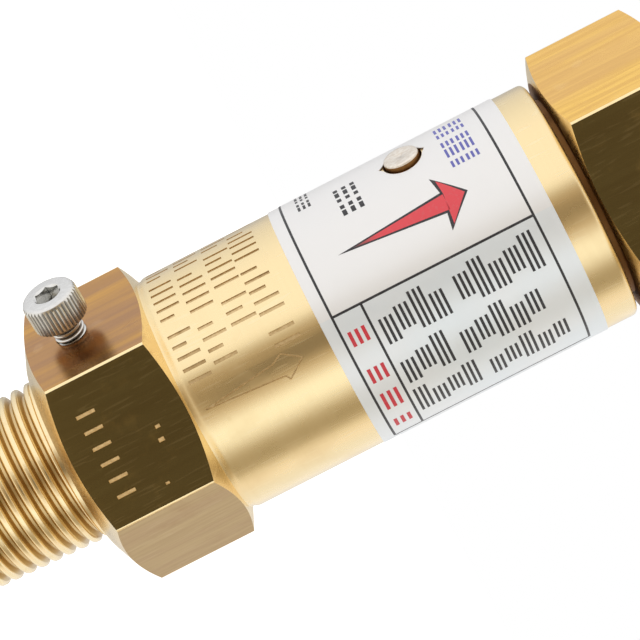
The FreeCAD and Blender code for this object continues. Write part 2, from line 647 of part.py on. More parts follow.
def adjuster_lock_pin():
    """The pin through the barrel wall that stops the adjusting screw from turning."""
    inner = ADJUSTER_THREAD_RADIUS - THREAD_GAP - LOCK_PIN_BITE
    outer = BARREL_RADIUS + LOCK_PIN_PROUD
    shank = rod_along_x(LOCK_PIN_RADIUS, inner, outer, LOCK_PIN_Z)
    pin = broken_edges(shank, LOCK_PIN_DOME, lambda edge: edge.BoundBox.XMin > outer - 0.01)
    return turned_about_z(pin, LOCK_PIN_DEG)


def outlet_connector():
    """The hexagonal outlet, screwed into the barrel. Its thread is a plain bore, as wide as the crests."""
    spigot = OUTLET_SOCKET_RADIUS - THREAD_GAP
    neck_z = BARREL_TOP_Z - CONNECTOR_NECK_DEPTH
    groove_low = O_RING_Z - O_RING_GROOVE_WIDTH / 2
    groove_high = O_RING_Z + O_RING_GROOVE_WIDTH / 2
    stem = turned([
        (0, SPIGOT_END_Z),
        (spigot - BORE_CHAMFER, SPIGOT_END_Z),
        (spigot, SPIGOT_END_Z + BORE_CHAMFER),
        (spigot, groove_low),
        (O_RING_FLOOR_RADIUS, groove_low),
        (O_RING_FLOOR_RADIUS, groove_high),
        (spigot, groove_high),
        (spigot, neck_z),
        (CONNECTOR_NECK_RADIUS, neck_z),
        (CONNECTOR_NECK_RADIUS, OUTLET_FACE_Z),
        (0, OUTLET_FACE_Z),
    ])
    head = hex_block(
        OUTLET_FACE_Z, OUTLET_FACE_RADIUS, OUTLET_LOW_CHAMFER_DEG,
        OUTLET_TOP_Z, OUTLET_TOP_RADIUS, OUTLET_TOP_CHAMFER_DEG,
    )
    relief_z = OUTLET_TOP_Z - OUTLET_THREAD_DEPTH
    thread_z = relief_z + OUTLET_RELIEF_WIDTH
    relief_radius = OUTLET_MAJOR_RADIUS + 0.1
    mouth = OUTLET_MINOR_RADIUS + OUTLET_MOUTH_CHAMFER
    bore = turned([
        (0, SPIGOT_END_Z - OVERSIZE),
        (SPIGOT_BORE_RADIUS, SPIGOT_END_Z - OVERSIZE),
        (SPIGOT_BORE_RADIUS, relief_z),
        (relief_radius, relief_z),
        (relief_radius, thread_z),
        (OUTLET_MINOR_RADIUS, thread_z),
        (OUTLET_MINOR_RADIUS, OUTLET_TOP_Z - OUTLET_MOUTH_CHAMFER),
        (mouth, OUTLET_TOP_Z),
        (mouth, OUTLET_TOP_Z + OVERSIZE),
        (0, OUTLET_TOP_Z + OVERSIZE),
    ])
    return stem.fuse(head).cut(bore)


def outlet_o_ring():
    """The O-ring that seals the connector in the barrel."""
    return Part.makeTorus(O_RING_RADIUS, O_RING_WIRE_RADIUS, FreeCAD.Vector(0, 0, O_RING_Z))


def label_wrap():
    """The printed film around the barrel, open at the back and cut out for the lock pin."""
    inner = BARREL_RADIUS + GLUE_GAP
    outer = inner + LABEL_THICKNESS
    low = FreeCAD.Vector(0, 0, LABEL_BOTTOM_Z)
    film = Part.makeCylinder(outer, LABEL_WIDTH, low, UP, LABEL_END_DEG - LABEL_START_DEG)
    film = film.cut(disc(inner, LABEL_BOTTOM_Z, LABEL_BOTTOM_Z + LABEL_WIDTH))
    film = turned_about_z(film, LABEL_START_DEG)
    hole = rod_along_x(
        LOCK_PIN_RADIUS + LABEL_HOLE_CLEARANCE, inner / 2, outer + OVERSIZE, LOCK_PIN_Z
    )
    return film.cut(turned_about_z(hole, LOCK_PIN_DEG))


PIECES = (
    valve_body,
    seat_nozzle,
    nozzle_gasket,
    blowdown_ring,
    lock_pad,
    lock_screw,
    disc_holder,
    seat_disc,
    disc_clamp_washer,
    disc_clamp_screw,
    thrust_ball,
    spindle,
    lower_spring_seat,
    main_spring,
    upper_spring_seat,
    adjusting_screw,
    spindle_guide_bush,
    adjuster_lock_pin,
    outlet_connector,
    outlet_o_ring,
    label_wrap,
)


def main():
    """Builds every piece and writes each to a STEP file of its own."""
    os.makedirs("parts", exist_ok=True)
    for piece in PIECES:
        shape = piece()
        shape.exportStep(os.path.join("parts", piece.__name__ + ".step"))
        print(f"{piece.__name__}: {len(shape.Solids)} solid, {shape.Volume:.1f} mm3, valid {shape.isValid()}")


main()
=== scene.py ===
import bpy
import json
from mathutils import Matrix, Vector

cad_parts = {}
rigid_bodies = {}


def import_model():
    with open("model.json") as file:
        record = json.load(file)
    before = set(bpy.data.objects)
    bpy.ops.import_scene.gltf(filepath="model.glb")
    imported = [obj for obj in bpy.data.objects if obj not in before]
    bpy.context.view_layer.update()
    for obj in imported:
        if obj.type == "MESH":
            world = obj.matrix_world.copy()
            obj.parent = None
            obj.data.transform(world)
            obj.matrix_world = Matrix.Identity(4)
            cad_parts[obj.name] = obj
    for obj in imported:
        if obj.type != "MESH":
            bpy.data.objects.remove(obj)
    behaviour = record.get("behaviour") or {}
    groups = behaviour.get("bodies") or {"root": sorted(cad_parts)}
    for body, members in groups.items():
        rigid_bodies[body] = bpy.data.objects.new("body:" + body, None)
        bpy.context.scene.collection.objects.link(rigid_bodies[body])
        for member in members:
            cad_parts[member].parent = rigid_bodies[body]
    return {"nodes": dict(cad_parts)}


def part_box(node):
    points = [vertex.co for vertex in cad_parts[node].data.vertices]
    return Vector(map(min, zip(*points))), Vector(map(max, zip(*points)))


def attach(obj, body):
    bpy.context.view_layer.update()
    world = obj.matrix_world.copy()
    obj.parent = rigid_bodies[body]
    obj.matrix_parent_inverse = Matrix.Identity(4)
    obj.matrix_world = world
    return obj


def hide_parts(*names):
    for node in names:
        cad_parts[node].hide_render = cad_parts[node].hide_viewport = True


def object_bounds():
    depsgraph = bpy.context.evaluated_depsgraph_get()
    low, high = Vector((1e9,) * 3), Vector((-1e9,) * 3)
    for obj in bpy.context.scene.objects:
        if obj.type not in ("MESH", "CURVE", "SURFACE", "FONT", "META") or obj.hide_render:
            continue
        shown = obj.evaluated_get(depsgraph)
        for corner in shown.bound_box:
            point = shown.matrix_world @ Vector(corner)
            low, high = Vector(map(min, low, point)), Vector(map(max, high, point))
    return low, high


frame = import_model()

"""The looks of a straight-through pressure relief valve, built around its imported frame.

Meshes are modelled in millimetres and then brought to metres. +Z is the valve's axis, from the inlet
to the outlet, and +X points out through the lock screw. A bearing is an angle about +Z, from +X.
"""

import json
import logging
import math
from dataclasses import dataclass, field
from enum import Enum
from typing import Callable, Sequence

import bmesh
import bpy
from mathutils import Matrix, Vector

logging.basicConfig(level=logging.INFO, format="%(message)s")
log = logging.getLogger("relief_valve")

Point = tuple[float, float]
Colour = tuple[float, float, float]
MILLIMETRE = 0.001
TURN = 2 * math.pi
CAD_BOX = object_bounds()


def span_mm(node: str, axis: int) -> Point:
    """The lowest and highest coordinate of a CAD node along an axis, in millimetres.

    Args:
        node: The CAD node's name.
        axis: 0, 1 or 2 for X, Y or Z.

    Returns:
        The two coordinates, lowest first.
    """
    low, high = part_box(node)
    return low[axis] / MILLIMETRE, high[axis] / MILLIMETRE


# ---------------------------------------------------------------- modelling by hand, in millimetres


def only(obj: bpy.types.Object) -> None:
    """Deselects everything, then selects one object and makes it active."""
    bpy.ops.object.select_all(action="DESELECT")
    obj.select_set(True)
    bpy.context.view_layer.objects.active = obj


def edit(obj: bpy.types.Object) -> None:
    """Enters edit mode on one object, with nothing selected, in vertex mode."""
    only(obj)
    bpy.ops.object.mode_set(mode="EDIT")
    bpy.ops.mesh.select_mode(type="VERT")
    bpy.ops.mesh.select_all(action="DESELECT")


def leave_edit() -> None:
    """Goes back to object mode."""
    bpy.ops.object.mode_set(mode="OBJECT")


def draw_outline(points: Sequence[Vector]) -> None:
    """Draws a chain of edges through points, in edit mode, and leaves all of it selected.

    Args:
        points: The chain's corners in order.
    """
    bpy.ops.mesh.select_all(action="DESELECT")
    bpy.ops.mesh.primitive_plane_add(size=1)
    bpy.ops.mesh.merge(type="CENTER")
    bpy.ops.transform.translate(value=points[0])
    for here, there in zip(points, points[1:]):
        bpy.ops.mesh.extrude_vertices_move(TRANSFORM_OT_translate={"value": there - here})
    bpy.ops.mesh.select_linked()


def lathe(name: str, outline: Sequence[Point], steps: int = 192) -> bpy.types.Object:
    """Turns an outline about Z into a closed solid.

    Args:
        name: The new object's name.
        outline: Corners as (radius, height), which start and end on the axis or close on themselves.
        steps: How many facets go round.

    Returns:
        The solid, in millimetres.
    """
    corners = [Vector((radius, 0, height)) for radius, height in outline]
    bpy.ops.object.select_all(action="DESELECT")
    bpy.ops.mesh.primitive_plane_add(size=1)
    solid = bpy.context.object
    solid.name = name
    edit(solid)
    bpy.ops.mesh.select_all(action="SELECT")
    bpy.ops.mesh.merge(type="CENTER")
    bpy.ops.transform.translate(value=corners[0])
    for here, there in zip(corners, corners[1:]):
        bpy.ops.mesh.extrude_vertices_move(TRANSFORM_OT_translate={"value": there - here})
    bpy.ops.mesh.select_all(action="SELECT")
    bpy.ops.mesh.spin(steps=steps, angle=TURN, center=(0, 0, 0), axis=(0, 0, 1))
    bpy.ops.mesh.select_all(action="SELECT")
    bpy.ops.mesh.remove_doubles(threshold=0.001)
    bpy.ops.mesh.normals_make_consistent(inside=False)
    leave_edit()
    return solid


def hex_bar(name: str, flats: float, low: float, high: float) -> bpy.types.Object:
    """A hexagonal bar on the Z axis, with a flat facing +X.

    Args:
        name: The new object's name.
        flats: Its size across flats.
        low: Its lower end.
        high: Its upper end.

    Returns:
        The bar, in millimetres.
    """
    bpy.ops.object.select_all(action="DESELECT")
    bpy.ops.mesh.primitive_cylinder_add(
        vertices=6, radius=flats / math.sqrt(3), depth=high - low, location=(0, 0, (low + high) / 2)
    )
    bar = bpy.context.object
    bar.name = name
    apply_place(bar)
    return bar


def rod(name: str, radius: float, start: float, end: float, height: float,
        bearing: float = 0.0, outer_radius: float | None = None, steps: int = 48) -> bpy.types.Object:
    """A round rod that points away from the axis, or a cone where the outer radius differs.

    Args:
        name: The new object's name.
        radius: Its radius at the inner end.
        start: The inner end's distance from the axis.
        end: The outer end's distance from the axis.
        height: The rod's height along Z.
        bearing: Where it points, in degrees about Z.
        outer_radius: Its radius at the outer end, if that differs.
        steps: How many facets go round.

    Returns:
        The rod, in millimetres.
    """
    bpy.ops.object.select_all(action="DESELECT")
    bpy.ops.mesh.primitive_cone_add(
        vertices=steps, radius1=radius, radius2=radius if outer_radius is None else outer_radius,
        depth=end - start, location=(0, 0, (start + end) / 2),
    )
    piece = bpy.context.object
    piece.name = name
    apply_place(piece)
    stand = Matrix.Translation((0, 0, height)) @ Matrix.Rotation(math.radians(bearing), 4, "Z")
    piece.data.transform(stand @ Matrix.Rotation(math.pi / 2, 4, "Y"))
    return piece


def apply_place(obj: bpy.types.Object) -> None:
    """Puts an object's place, turn and scale into its mesh."""
    only(obj)
    bpy.ops.object.transform_apply(location=True, rotation=True, scale=True)


def combine(target: bpy.types.Object, tool: bpy.types.Object, operation: str) -> None:
    """Cuts, joins or intersects a solid with a tool, which is then thrown away.

    Args:
        target: The solid that is kept.
        tool: The other solid.
        operation: DIFFERENCE, UNION or INTERSECT.
    """
    only(target)
    bpy.ops.object.modifier_add(type="BOOLEAN")
    cut = target.modifiers[-1]
    cut.solver = "MANIFOLD"
    cut.operation = operation
    cut.object = tool
    bpy.ops.object.modifier_apply(modifier=cut.name)
    bpy.data.objects.remove(tool, do_unlink=True)


def round_edges(obj: bpy.types.Object, width: float, segments: int,
                wanted: Callable[[Vector, Vector], bool]) -> None:
    """Bevels the edges whose two ends pass a test.

    Args:
        obj: The solid.
        width: The bevel's width.
        segments: How many facets it has.
        wanted: Told the edge's two ends, says whether it is bevelled.
    """
    edit(obj)
    bpy.ops.mesh.select_mode(type="EDGE")
    mesh = bmesh.from_edit_mesh(obj.data)
    for edge in mesh.edges:
        edge.select_set(wanted(edge.verts[0].co, edge.verts[1].co))
    bmesh.update_edit_mesh(obj.data)
    bpy.ops.mesh.bevel(offset=width, offset_type="OFFSET", segments=segments, affect="EDGES")
    leave_edit()


def thread_tool(radius: float, pitch: float, depth: float, flat: float, low: float, turns: int,
                taper: float = 0.0, inside: bool = False, steps: int = 96) -> bpy.types.Object:
    """The helical groove of a right-hand thread with rounded crests, as a closed solid to cut with.

    Args:
        radius: The crest's radius at the bottom of the helix.
        pitch: The rise of one turn.
        depth: The groove's depth.
        flat: The width of its root.
        low: The height at which the helix starts.
        turns: How many turns it makes.
        taper: How fast the crest's radius grows with height.
        inside: Whether the thread is cut in a bore.
        steps: Facets in a turn.

    Returns:
        The tool, in millimetres.
    """
    side = 1 if inside else -1
    flank = [
        (0.12 * pitch, 0.535 * pitch), (0.0, 0.45 * pitch), (-0.1 * depth, 0.335 * pitch),
        (-0.35 * depth, 0.235 * pitch), (-depth, flat / 2),
    ]
    section = [(radius - side * out, -half) for out, half in flank]
    section += [(radius - side * out, half) for out, half in reversed(flank)]
    bpy.ops.object.select_all(action="DESELECT")
    bpy.ops.mesh.primitive_circle_add(vertices=len(section), fill_type="NOTHING")
    tool = bpy.context.object
    tool.name = "thread_tool"
    for vertex, (out, height) in zip(tool.data.vertices, section):
        vertex.co = (out, 0, height)
    bpy.ops.object.modifier_add(type="SCREW")
    screw = tool.modifiers[-1]
    screw.axis = "Z"
    screw.angle = TURN
    screw.screw_offset = pitch
    screw.iterations = turns
    screw.steps = screw.render_steps = steps
    bpy.ops.object.modifier_apply(modifier=screw.name)
    edit(tool)
    bpy.ops.mesh.select_non_manifold()
    bpy.ops.mesh.fill_holes(sides=len(section))
    bpy.ops.mesh.select_all(action="SELECT")
    bpy.ops.mesh.normals_make_consistent(inside=False)
    leave_edit()
    for vertex in tool.data.vertices:
        out = Vector((vertex.co.x, vertex.co.y, 0)).normalized() * (vertex.co.z * taper)
        vertex.co += out
        vertex.co.z += low
    return tool


def finish_piece(obj: bpy.types.Object, body: str, nodes: Sequence[str] = (),
                 smooth_degrees: float = 30.0) -> bpy.types.Object:
    """Brings a finished mesh to metres, smooths it and hangs it on its body.

    Args:
        obj: The piece, in millimetres.
        body: The CAD body it rides on.
        nodes: The CAD nodes it stands for.
        smooth_degrees: Edges flatter than this are shaded smooth.

    Returns:
        The same object.
    """
    obj.scale = (MILLIMETRE, MILLIMETRE, MILLIMETRE)
    apply_place(obj)
    bpy.ops.object.shade_smooth_by_angle(angle=math.radians(smooth_degrees))
    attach(obj, body)
    if nodes:
        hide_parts(*nodes)
    log.info("%s: %d faces on %s", obj.name, len(obj.data.polygons), body)
    return obj


def dress(obj: bpy.types.Object, materials: Sequence[bpy.types.Material],
          choose: Callable[[Vector, Vector], int] | None = None, crisp_from: int = 99) -> None:
    """Gives a piece its materials, face by face.

    Args:
        obj: The piece, in metres.
        materials: Its materials.
        choose: Told a face's centre in millimetres and its normal, gives the material's index.
        crisp_from: Faces with a material of this index or more are shaded flat.
    """
    obj.data.materials.clear()
    for material in materials:
        obj.data.materials.append(material)
    if choose:
        for face in obj.data.polygons:
            face.material_index = choose(face.center / MILLIMETRE, face.normal)
            if face.material_index >= crisp_from:
                face.use_smooth = False


# ---------------------------------------------------------------- shader wiring


class Wiring:
    """Adds nodes to one node tree and joins them."""

    def __init__(self, tree: bpy.types.NodeTree) -> None:
        """Starts on an emptied tree."""
        self.tree = tree
        tree.nodes.clear()

    def add(self, kind: str, inputs: dict | None = None, **settings) -> bpy.types.Node:
        """Adds a node.

        Args:
            kind: The node's type name without its ShaderNode start.
            inputs: Its input sockets by name or index, each given a value or a socket to join to.
            settings: The node's own properties.

        Returns:
            The node.
        """
        node = self.tree.nodes.new(kind if kind.startswith("NodeGroup") else "ShaderNode" + kind)
        for key, value in settings.items():
            setattr(node, key, value)
        for key, value in (inputs or {}).items():
            if isinstance(value, bpy.types.NodeSocket):
                self.tree.links.new(value, node.inputs[key])
            else:
                node.inputs[key].default_value = value
        return node

    def math(self, operation: str, *values: float | bpy.types.NodeSocket) -> bpy.types.NodeSocket:
        """A Math node's result."""
        return self.add("Math", dict(enumerate(values)), operation=operation).outputs[0]

    def vector_math(self, operation: str, *values) -> bpy.types.Node:
        """A Vector Math node."""
        return self.add("VectorMath", dict(enumerate(values)), operation=operation)

    def fade(self, value: bpy.types.NodeSocket, low: float, high: float) -> bpy.types.NodeSocket:
        """Goes smoothly from 0 at low to 1 at high."""
        node = self.add(
            "MapRange", {"Value": value, "From Min": low, "From Max": high},
            interpolation_type="SMOOTHSTEP",
        )
        return node.outputs["Result"]

    def mix(self, factor, first, second, blend: str = "MIX") -> bpy.types.NodeSocket:
        """Blends two colours.

        Args:
            factor: How much of the second there is.
            first: A colour or a socket.
            second: A colour or a socket.
            blend: The blend type.

        Returns:
            The colour socket.
        """
        node = self.add("Mix", data_type="RGBA", blend_type=blend, clamp_factor=True)
        for index, value in ((0, factor), (6, first), (7, second)):
            if isinstance(value, bpy.types.NodeSocket):
                self.tree.links.new(value, node.inputs[index])
            elif index == 0:
                node.inputs[index].default_value = value
            else:
                node.inputs[index].default_value = (*value[:3], 1.0)
        return node.outputs[2]

    def ramp(self, value: bpy.types.NodeSocket, stops: Sequence[tuple[float, Colour]],
             smooth: bool = True) -> bpy.types.NodeSocket:
        """A colour ramp.

        Args:
            value: What it is read at.
            stops: Positions from 0 to 1, each with its colour.
            smooth: Whether it eases between stops.

        Returns:
            The colour socket.
        """
        node = self.add("ValToRGB", {0: value})
        ramp = node.color_ramp
        ramp.interpolation = "EASE" if smooth else "LINEAR"
        while len(ramp.elements) < len(stops):
            ramp.elements.new(0.5)
        for element, (position, _) in zip(ramp.elements, stops):
            element.position = position
        for element, (_, colour) in zip(ramp.elements, stops):
            element.color = (*colour, 1.0)
        return node.outputs["Color"]


class Effect(Enum):
    """The surface effects that several finishes share, by the names of their node groups."""

    TURNING_MARKS = "turning_marks"
    DRAWN_STREAKS = "drawn_streaks"
    TARNISH = "tarnish"
    SCRATCHES = "fine_scratches"


def new_group(name: str, inputs: Sequence[tuple[str, float]], outputs: Sequence[str]
              ) -> tuple[Wiring, bpy.types.Node, bpy.types.Node]:
    """Makes an empty node group with number sockets and a Vector input.

    Args:
        name: The group's name.
        inputs: Each number input with its default.
        outputs: The names of its number outputs.

    Returns:
        The wiring, the group's input node and its output node.
    """
    tree = bpy.data.node_groups.new(name, "ShaderNodeTree")
    tree.interface.new_socket("Vector", in_out="INPUT", socket_type="NodeSocketVector")
    for label, default in inputs:
        socket = tree.interface.new_socket(label, in_out="INPUT", socket_type="NodeSocketFloat")
        socket.default_value = default
    for label in outputs:
        tree.interface.new_socket(label, in_out="OUTPUT", socket_type="NodeSocketFloat")
    wiring = Wiring(tree)
    return wiring, wiring.add("NodeGroupInput"), wiring.add("NodeGroupOutput")


def build_turning_marks() -> None:
    """Marks that a lathe tool leaves: rings round the axis on cylinders, circles on end faces."""
    wiring, given, result = new_group(
        Effect.TURNING_MARKS.value, [("Pitch", 0.3), ("Waviness", 0.4)], ["Mask", "Height"]
    )
    split = wiring.add("SeparateXYZ", {0: given.outputs["Vector"]})
    flat = wiring.add("CombineXYZ", {0: split.outputs[0], 1: split.outputs[1]})
    radius = wiring.vector_math("LENGTH", flat.outputs[0]).outputs["Value"]
    spacing = wiring.math("MULTIPLY", given.outputs["Pitch"], MILLIMETRE)
    fine = wiring.add("CombineXYZ", {
        0: wiring.math("DIVIDE", radius, spacing), 1: wiring.math("DIVIDE", split.outputs[2], spacing),
    })
    swirl = wiring.add("TexNoise", {"Vector": given.outputs["Vector"], "Scale": 120.0})
    shifted = wiring.vector_math(
        "ADD", fine.outputs[0],
        wiring.add("CombineXYZ", {
            2: wiring.math("MULTIPLY", swirl.outputs[0], given.outputs["Waviness"]),
        }).outputs[0],
    )
    rings = wiring.add("TexNoise", {"Vector": shifted.outputs[0], "Scale": 1.0, "Detail": 3.0})
    broad = wiring.add("TexNoise", {
        "Vector": wiring.vector_math("MULTIPLY", shifted.outputs[0], (0.12, 0.12, 0.12)).outputs[0],
        "Scale": 1.0, "Detail": 2.0,
    })
    wiring.tree.links.new(
        wiring.math("ADD", wiring.math("MULTIPLY", rings.outputs[0], 0.55),
                    wiring.math("MULTIPLY", broad.outputs[0], 0.45)),
        result.inputs["Mask"],
    )
    wiring.tree.links.new(rings.outputs[0], result.inputs["Height"])


def build_drawn_streaks() -> None:
    """Streaks along the axis, as a drawing die leaves them on bar stock."""
    wiring, given, result = new_group(
        Effect.DRAWN_STREAKS.value, [("Width", 0.5), ("Stretch", 22.0)], ["Mask", "Height", "Bands"]
    )
    per_metre = wiring.math("DIVIDE", 1 / MILLIMETRE, given.outputs["Width"])
    along = wiring.math("DIVIDE", per_metre, given.outputs["Stretch"])
    scale = wiring.add("CombineXYZ", {0: per_metre, 1: per_metre, 2: along})
    place = wiring.vector_math("MULTIPLY", given.outputs["Vector"], scale.outputs[0])
    fine = wiring.add("TexNoise", {"Vector": place.outputs[0], "Scale": 1.0, "Detail": 4.0})
    wide = wiring.add("TexNoise", {
        "Vector": wiring.vector_math("MULTIPLY", place.outputs[0], (0.2, 0.2, 0.35)).outputs[0],
        "Scale": 1.0, "Detail": 2.0,
    })
    wiring.tree.links.new(wiring.fade(fine.outputs[0], 0.36, 0.64), result.inputs["Mask"])
    wiring.tree.links.new(fine.outputs[0], result.inputs["Height"])
    wiring.tree.links.new(wiring.fade(wide.outputs[0], 0.38, 0.62), result.inputs["Bands"])


def build_tarnish() -> None:
    """Soft blotches where the metal has darkened."""
    wiring, given, result = new_group(
        Effect.TARNISH.value, [("Size", 6.0), ("Spread", 0.5)], ["Mask"]
    )
    scale = wiring.math("DIVIDE", 1 / MILLIMETRE, given.outputs["Size"])
    noise = wiring.add("TexNoise", {
        "Vector": given.outputs["Vector"], "Scale": scale, "Detail": 5.0, "Roughness": 0.6,
    })
    low = wiring.math("SUBTRACT", 0.75, wiring.math("MULTIPLY", given.outputs["Spread"], 0.4))
    mask = wiring.add("MapRange", {
        "Value": noise.outputs[0], "From Min": low, "From Max": wiring.math("ADD", low, 0.2),
    })
    wiring.tree.links.new(mask.outputs["Result"], result.inputs["Mask"])


def build_scratches() -> None:
    """Short fine scratches in two directions, with small specks between them."""
    wiring, given, result = new_group(
        Effect.SCRATCHES.value, [("Density", 0.5)], ["Mask", "Specks"]
    )
    layers = []
    for turn, offset in ((0.5, 0.0), (2.1, 0.37), (1.2, 0.71)):
        mapping = wiring.add("Mapping", {
            "Vector": given.outputs["Vector"], "Rotation": (turn, turn * 0.7, turn),
            "Scale": (4200.0, 260.0, 260.0), "Location": (offset, offset, offset),
        })
        noise = wiring.add("TexNoise", {"Vector": mapping.outputs[0], "Scale": 1.0, "Detail": 0.0})
        layers.append(wiring.fade(noise.outputs[0], 0.735, 0.79))
    lines = wiring.math("MAXIMUM", wiring.math("MAXIMUM", layers[0], layers[1]), layers[2])
    cells = wiring.add("TexVoronoi", {"Vector": given.outputs["Vector"], "Scale": 420.0})
    tint = wiring.add("SeparateColor", {0: cells.outputs["Color"]})
    chosen = wiring.math("GREATER_THAN", tint.outputs[0], 0.88)
    dot = wiring.math("SUBTRACT", 1.0, wiring.fade(cells.outputs["Distance"], 0.06, 0.16))
    wiring.tree.links.new(
        wiring.math("MULTIPLY", lines, given.outputs["Density"]), result.inputs["Mask"]
    )
    wiring.tree.links.new(wiring.math("MULTIPLY", dot, chosen), result.inputs["Specks"])


def place_effect(wiring: Wiring, effect: Effect, vector: bpy.types.NodeSocket,
                 **values: float) -> bpy.types.Node:
    """Puts one of the shared effects into a material.

    Args:
        wiring: The material's wiring.
        effect: Which effect.
        vector: The coordinates that it reads.
        values: Its inputs by name.

    Returns:
        The group node.
    """
    node = wiring.add("Group", node_tree=bpy.data.node_groups[effect.value])
    wiring.tree.links.new(vector, node.inputs["Vector"])
    for name, value in values.items():
        node.inputs[name].default_value = value
    return node


def new_material(name: str) -> tuple[bpy.types.Material, Wiring, bpy.types.Node, bpy.types.NodeSocket]:
    """Makes a material with its Principled shader and Object coordinates.

    Args:
        name: The material's name.

    Returns:
        The material, its wiring, its shader and its coordinates.
    """
    material = bpy.data.materials.new(name)
    material.use_nodes = True
    wiring = Wiring(material.node_tree)
    shader = wiring.add("BsdfPrincipled")
    output = wiring.add("OutputMaterial")
    material.node_tree.links.new(shader.outputs[0], output.inputs["Surface"])
    place = wiring.add("TexCoord").outputs["Object"]
    return material, wiring, shader, place


class Grain(Enum):
    """How a metal surface was made, which sets the direction of its marks."""

    TURNED = "turned"
    DRAWN = "drawn"
    PLAIN = "plain"


@dataclass(frozen=True)
class Metal:
    """A metal finish.

    base is its colour where clean, streak the colour of its marks, and stain that of its tarnish.
    """

    name: str
    base: Colour
    streak: Colour
    stain: Colour
    grain: Grain = Grain.TURNED
    roughness: float = 0.3
    anisotropy: float = 0.0
    mark_width: float = 0.3
    mark_amount: float = 0.5
    bands: float = 0.0
    stain_amount: float = 0.3
    stain_size: float = 6.0
    stain_spread: float = 0.5
    scratches: float = 0.0
    scratch_colour: Colour = (0.9, 0.8, 0.55)
    specks: float = 0.0
    bump: float = 0.02

    def build(self) -> bpy.types.Material:
        """The material of this finish."""
        material, wiring, shader, place = new_material(self.name)
        turned = self.grain is Grain.TURNED
        if turned:
            marks = place_effect(wiring, Effect.TURNING_MARKS, place, Pitch=self.mark_width)
        else:
            stretch = 22.0 if self.grain is Grain.DRAWN else 1.5
            marks = place_effect(
                wiring, Effect.DRAWN_STREAKS, place, Width=self.mark_width, Stretch=stretch
            )
        stain = place_effect(
            wiring, Effect.TARNISH, place, Size=self.stain_size, Spread=self.stain_spread
        )
        shown = wiring.math("MULTIPLY", marks.outputs["Mask"], self.mark_amount)
        colour = wiring.mix(shown, self.base, self.streak)
        if self.bands and not turned:
            share = wiring.math("MULTIPLY", marks.outputs["Bands"], self.bands)
            colour = wiring.mix(share, colour, self.stain)
        share = wiring.math("MULTIPLY", stain.outputs["Mask"], self.stain_amount)
        colour = wiring.mix(share, colour, self.stain)
        rough = wiring.math("ADD", wiring.math("MULTIPLY", stain.outputs["Mask"], 0.12), self.roughness)
        if self.scratches or self.specks:
            worn = place_effect(wiring, Effect.SCRATCHES, place, Density=self.scratches)
            colour = wiring.mix(worn.outputs["Mask"], colour, self.scratch_colour)
            share = wiring.math("MULTIPLY", worn.outputs["Specks"], self.specks)
            colour = wiring.mix(share, colour, self.stain)
            rough = wiring.math("ADD", rough, wiring.math("MULTIPLY", worn.outputs["Mask"], 0.3))
        wiring.tree.links.new(colour, shader.inputs["Base Color"])
        wiring.tree.links.new(rough, shader.inputs["Roughness"])
        shader.inputs["Metallic"].default_value = 1.0
        if self.anisotropy:
            shader.inputs["Anisotropic"].default_value = self.anisotropy
            shader.inputs["Anisotropic Rotation"].default_value = 0.25 if turned else 0.0
            tangent = wiring.add("Tangent", direction_type="RADIAL", axis="Z")
            wiring.tree.links.new(tangent.outputs[0], shader.inputs["Tangent"])
        bump = wiring.add("Bump", {
            "Strength": 1.0, "Distance": self.bump * MILLIMETRE, "Height": marks.outputs["Height"],
        })
        wiring.tree.links.new(bump.outputs[0], shader.inputs["Normal"])
        return material


@dataclass(frozen=True)
class Ink:
    """A printed ink, which fades from tail to colour over a stretch of height if it is given one."""

    name: str
    colour: Colour
    tail: Colour | None = None
    fade_from: float = 0.0
    fade_to: float = 1.0

    def build(self) -> bpy.types.Material:
        """The material of this ink."""
        material, wiring, shader, place = new_material(self.name)
        grain = wiring.add("TexNoise", {"Vector": place, "Scale": 2600.0, "Detail": 3.0})
        worn = tuple(0.9 * c + 0.035 for c in self.colour)
        colour = wiring.mix(wiring.fade(grain.outputs[0], 0.5, 0.75), self.colour, worn)
        if self.tail:
            height = wiring.add("SeparateXYZ", {0: place}).outputs[2]
            share = wiring.fade(height, self.fade_from * MILLIMETRE, self.fade_to * MILLIMETRE)
            colour = wiring.mix(share, self.tail, colour)
        wiring.tree.links.new(colour, shader.inputs["Base Color"])
        rough = wiring.math("ADD", wiring.math("MULTIPLY", grain.outputs[0], 0.15), 0.35)
        wiring.tree.links.new(rough, shader.inputs["Roughness"])
        return material


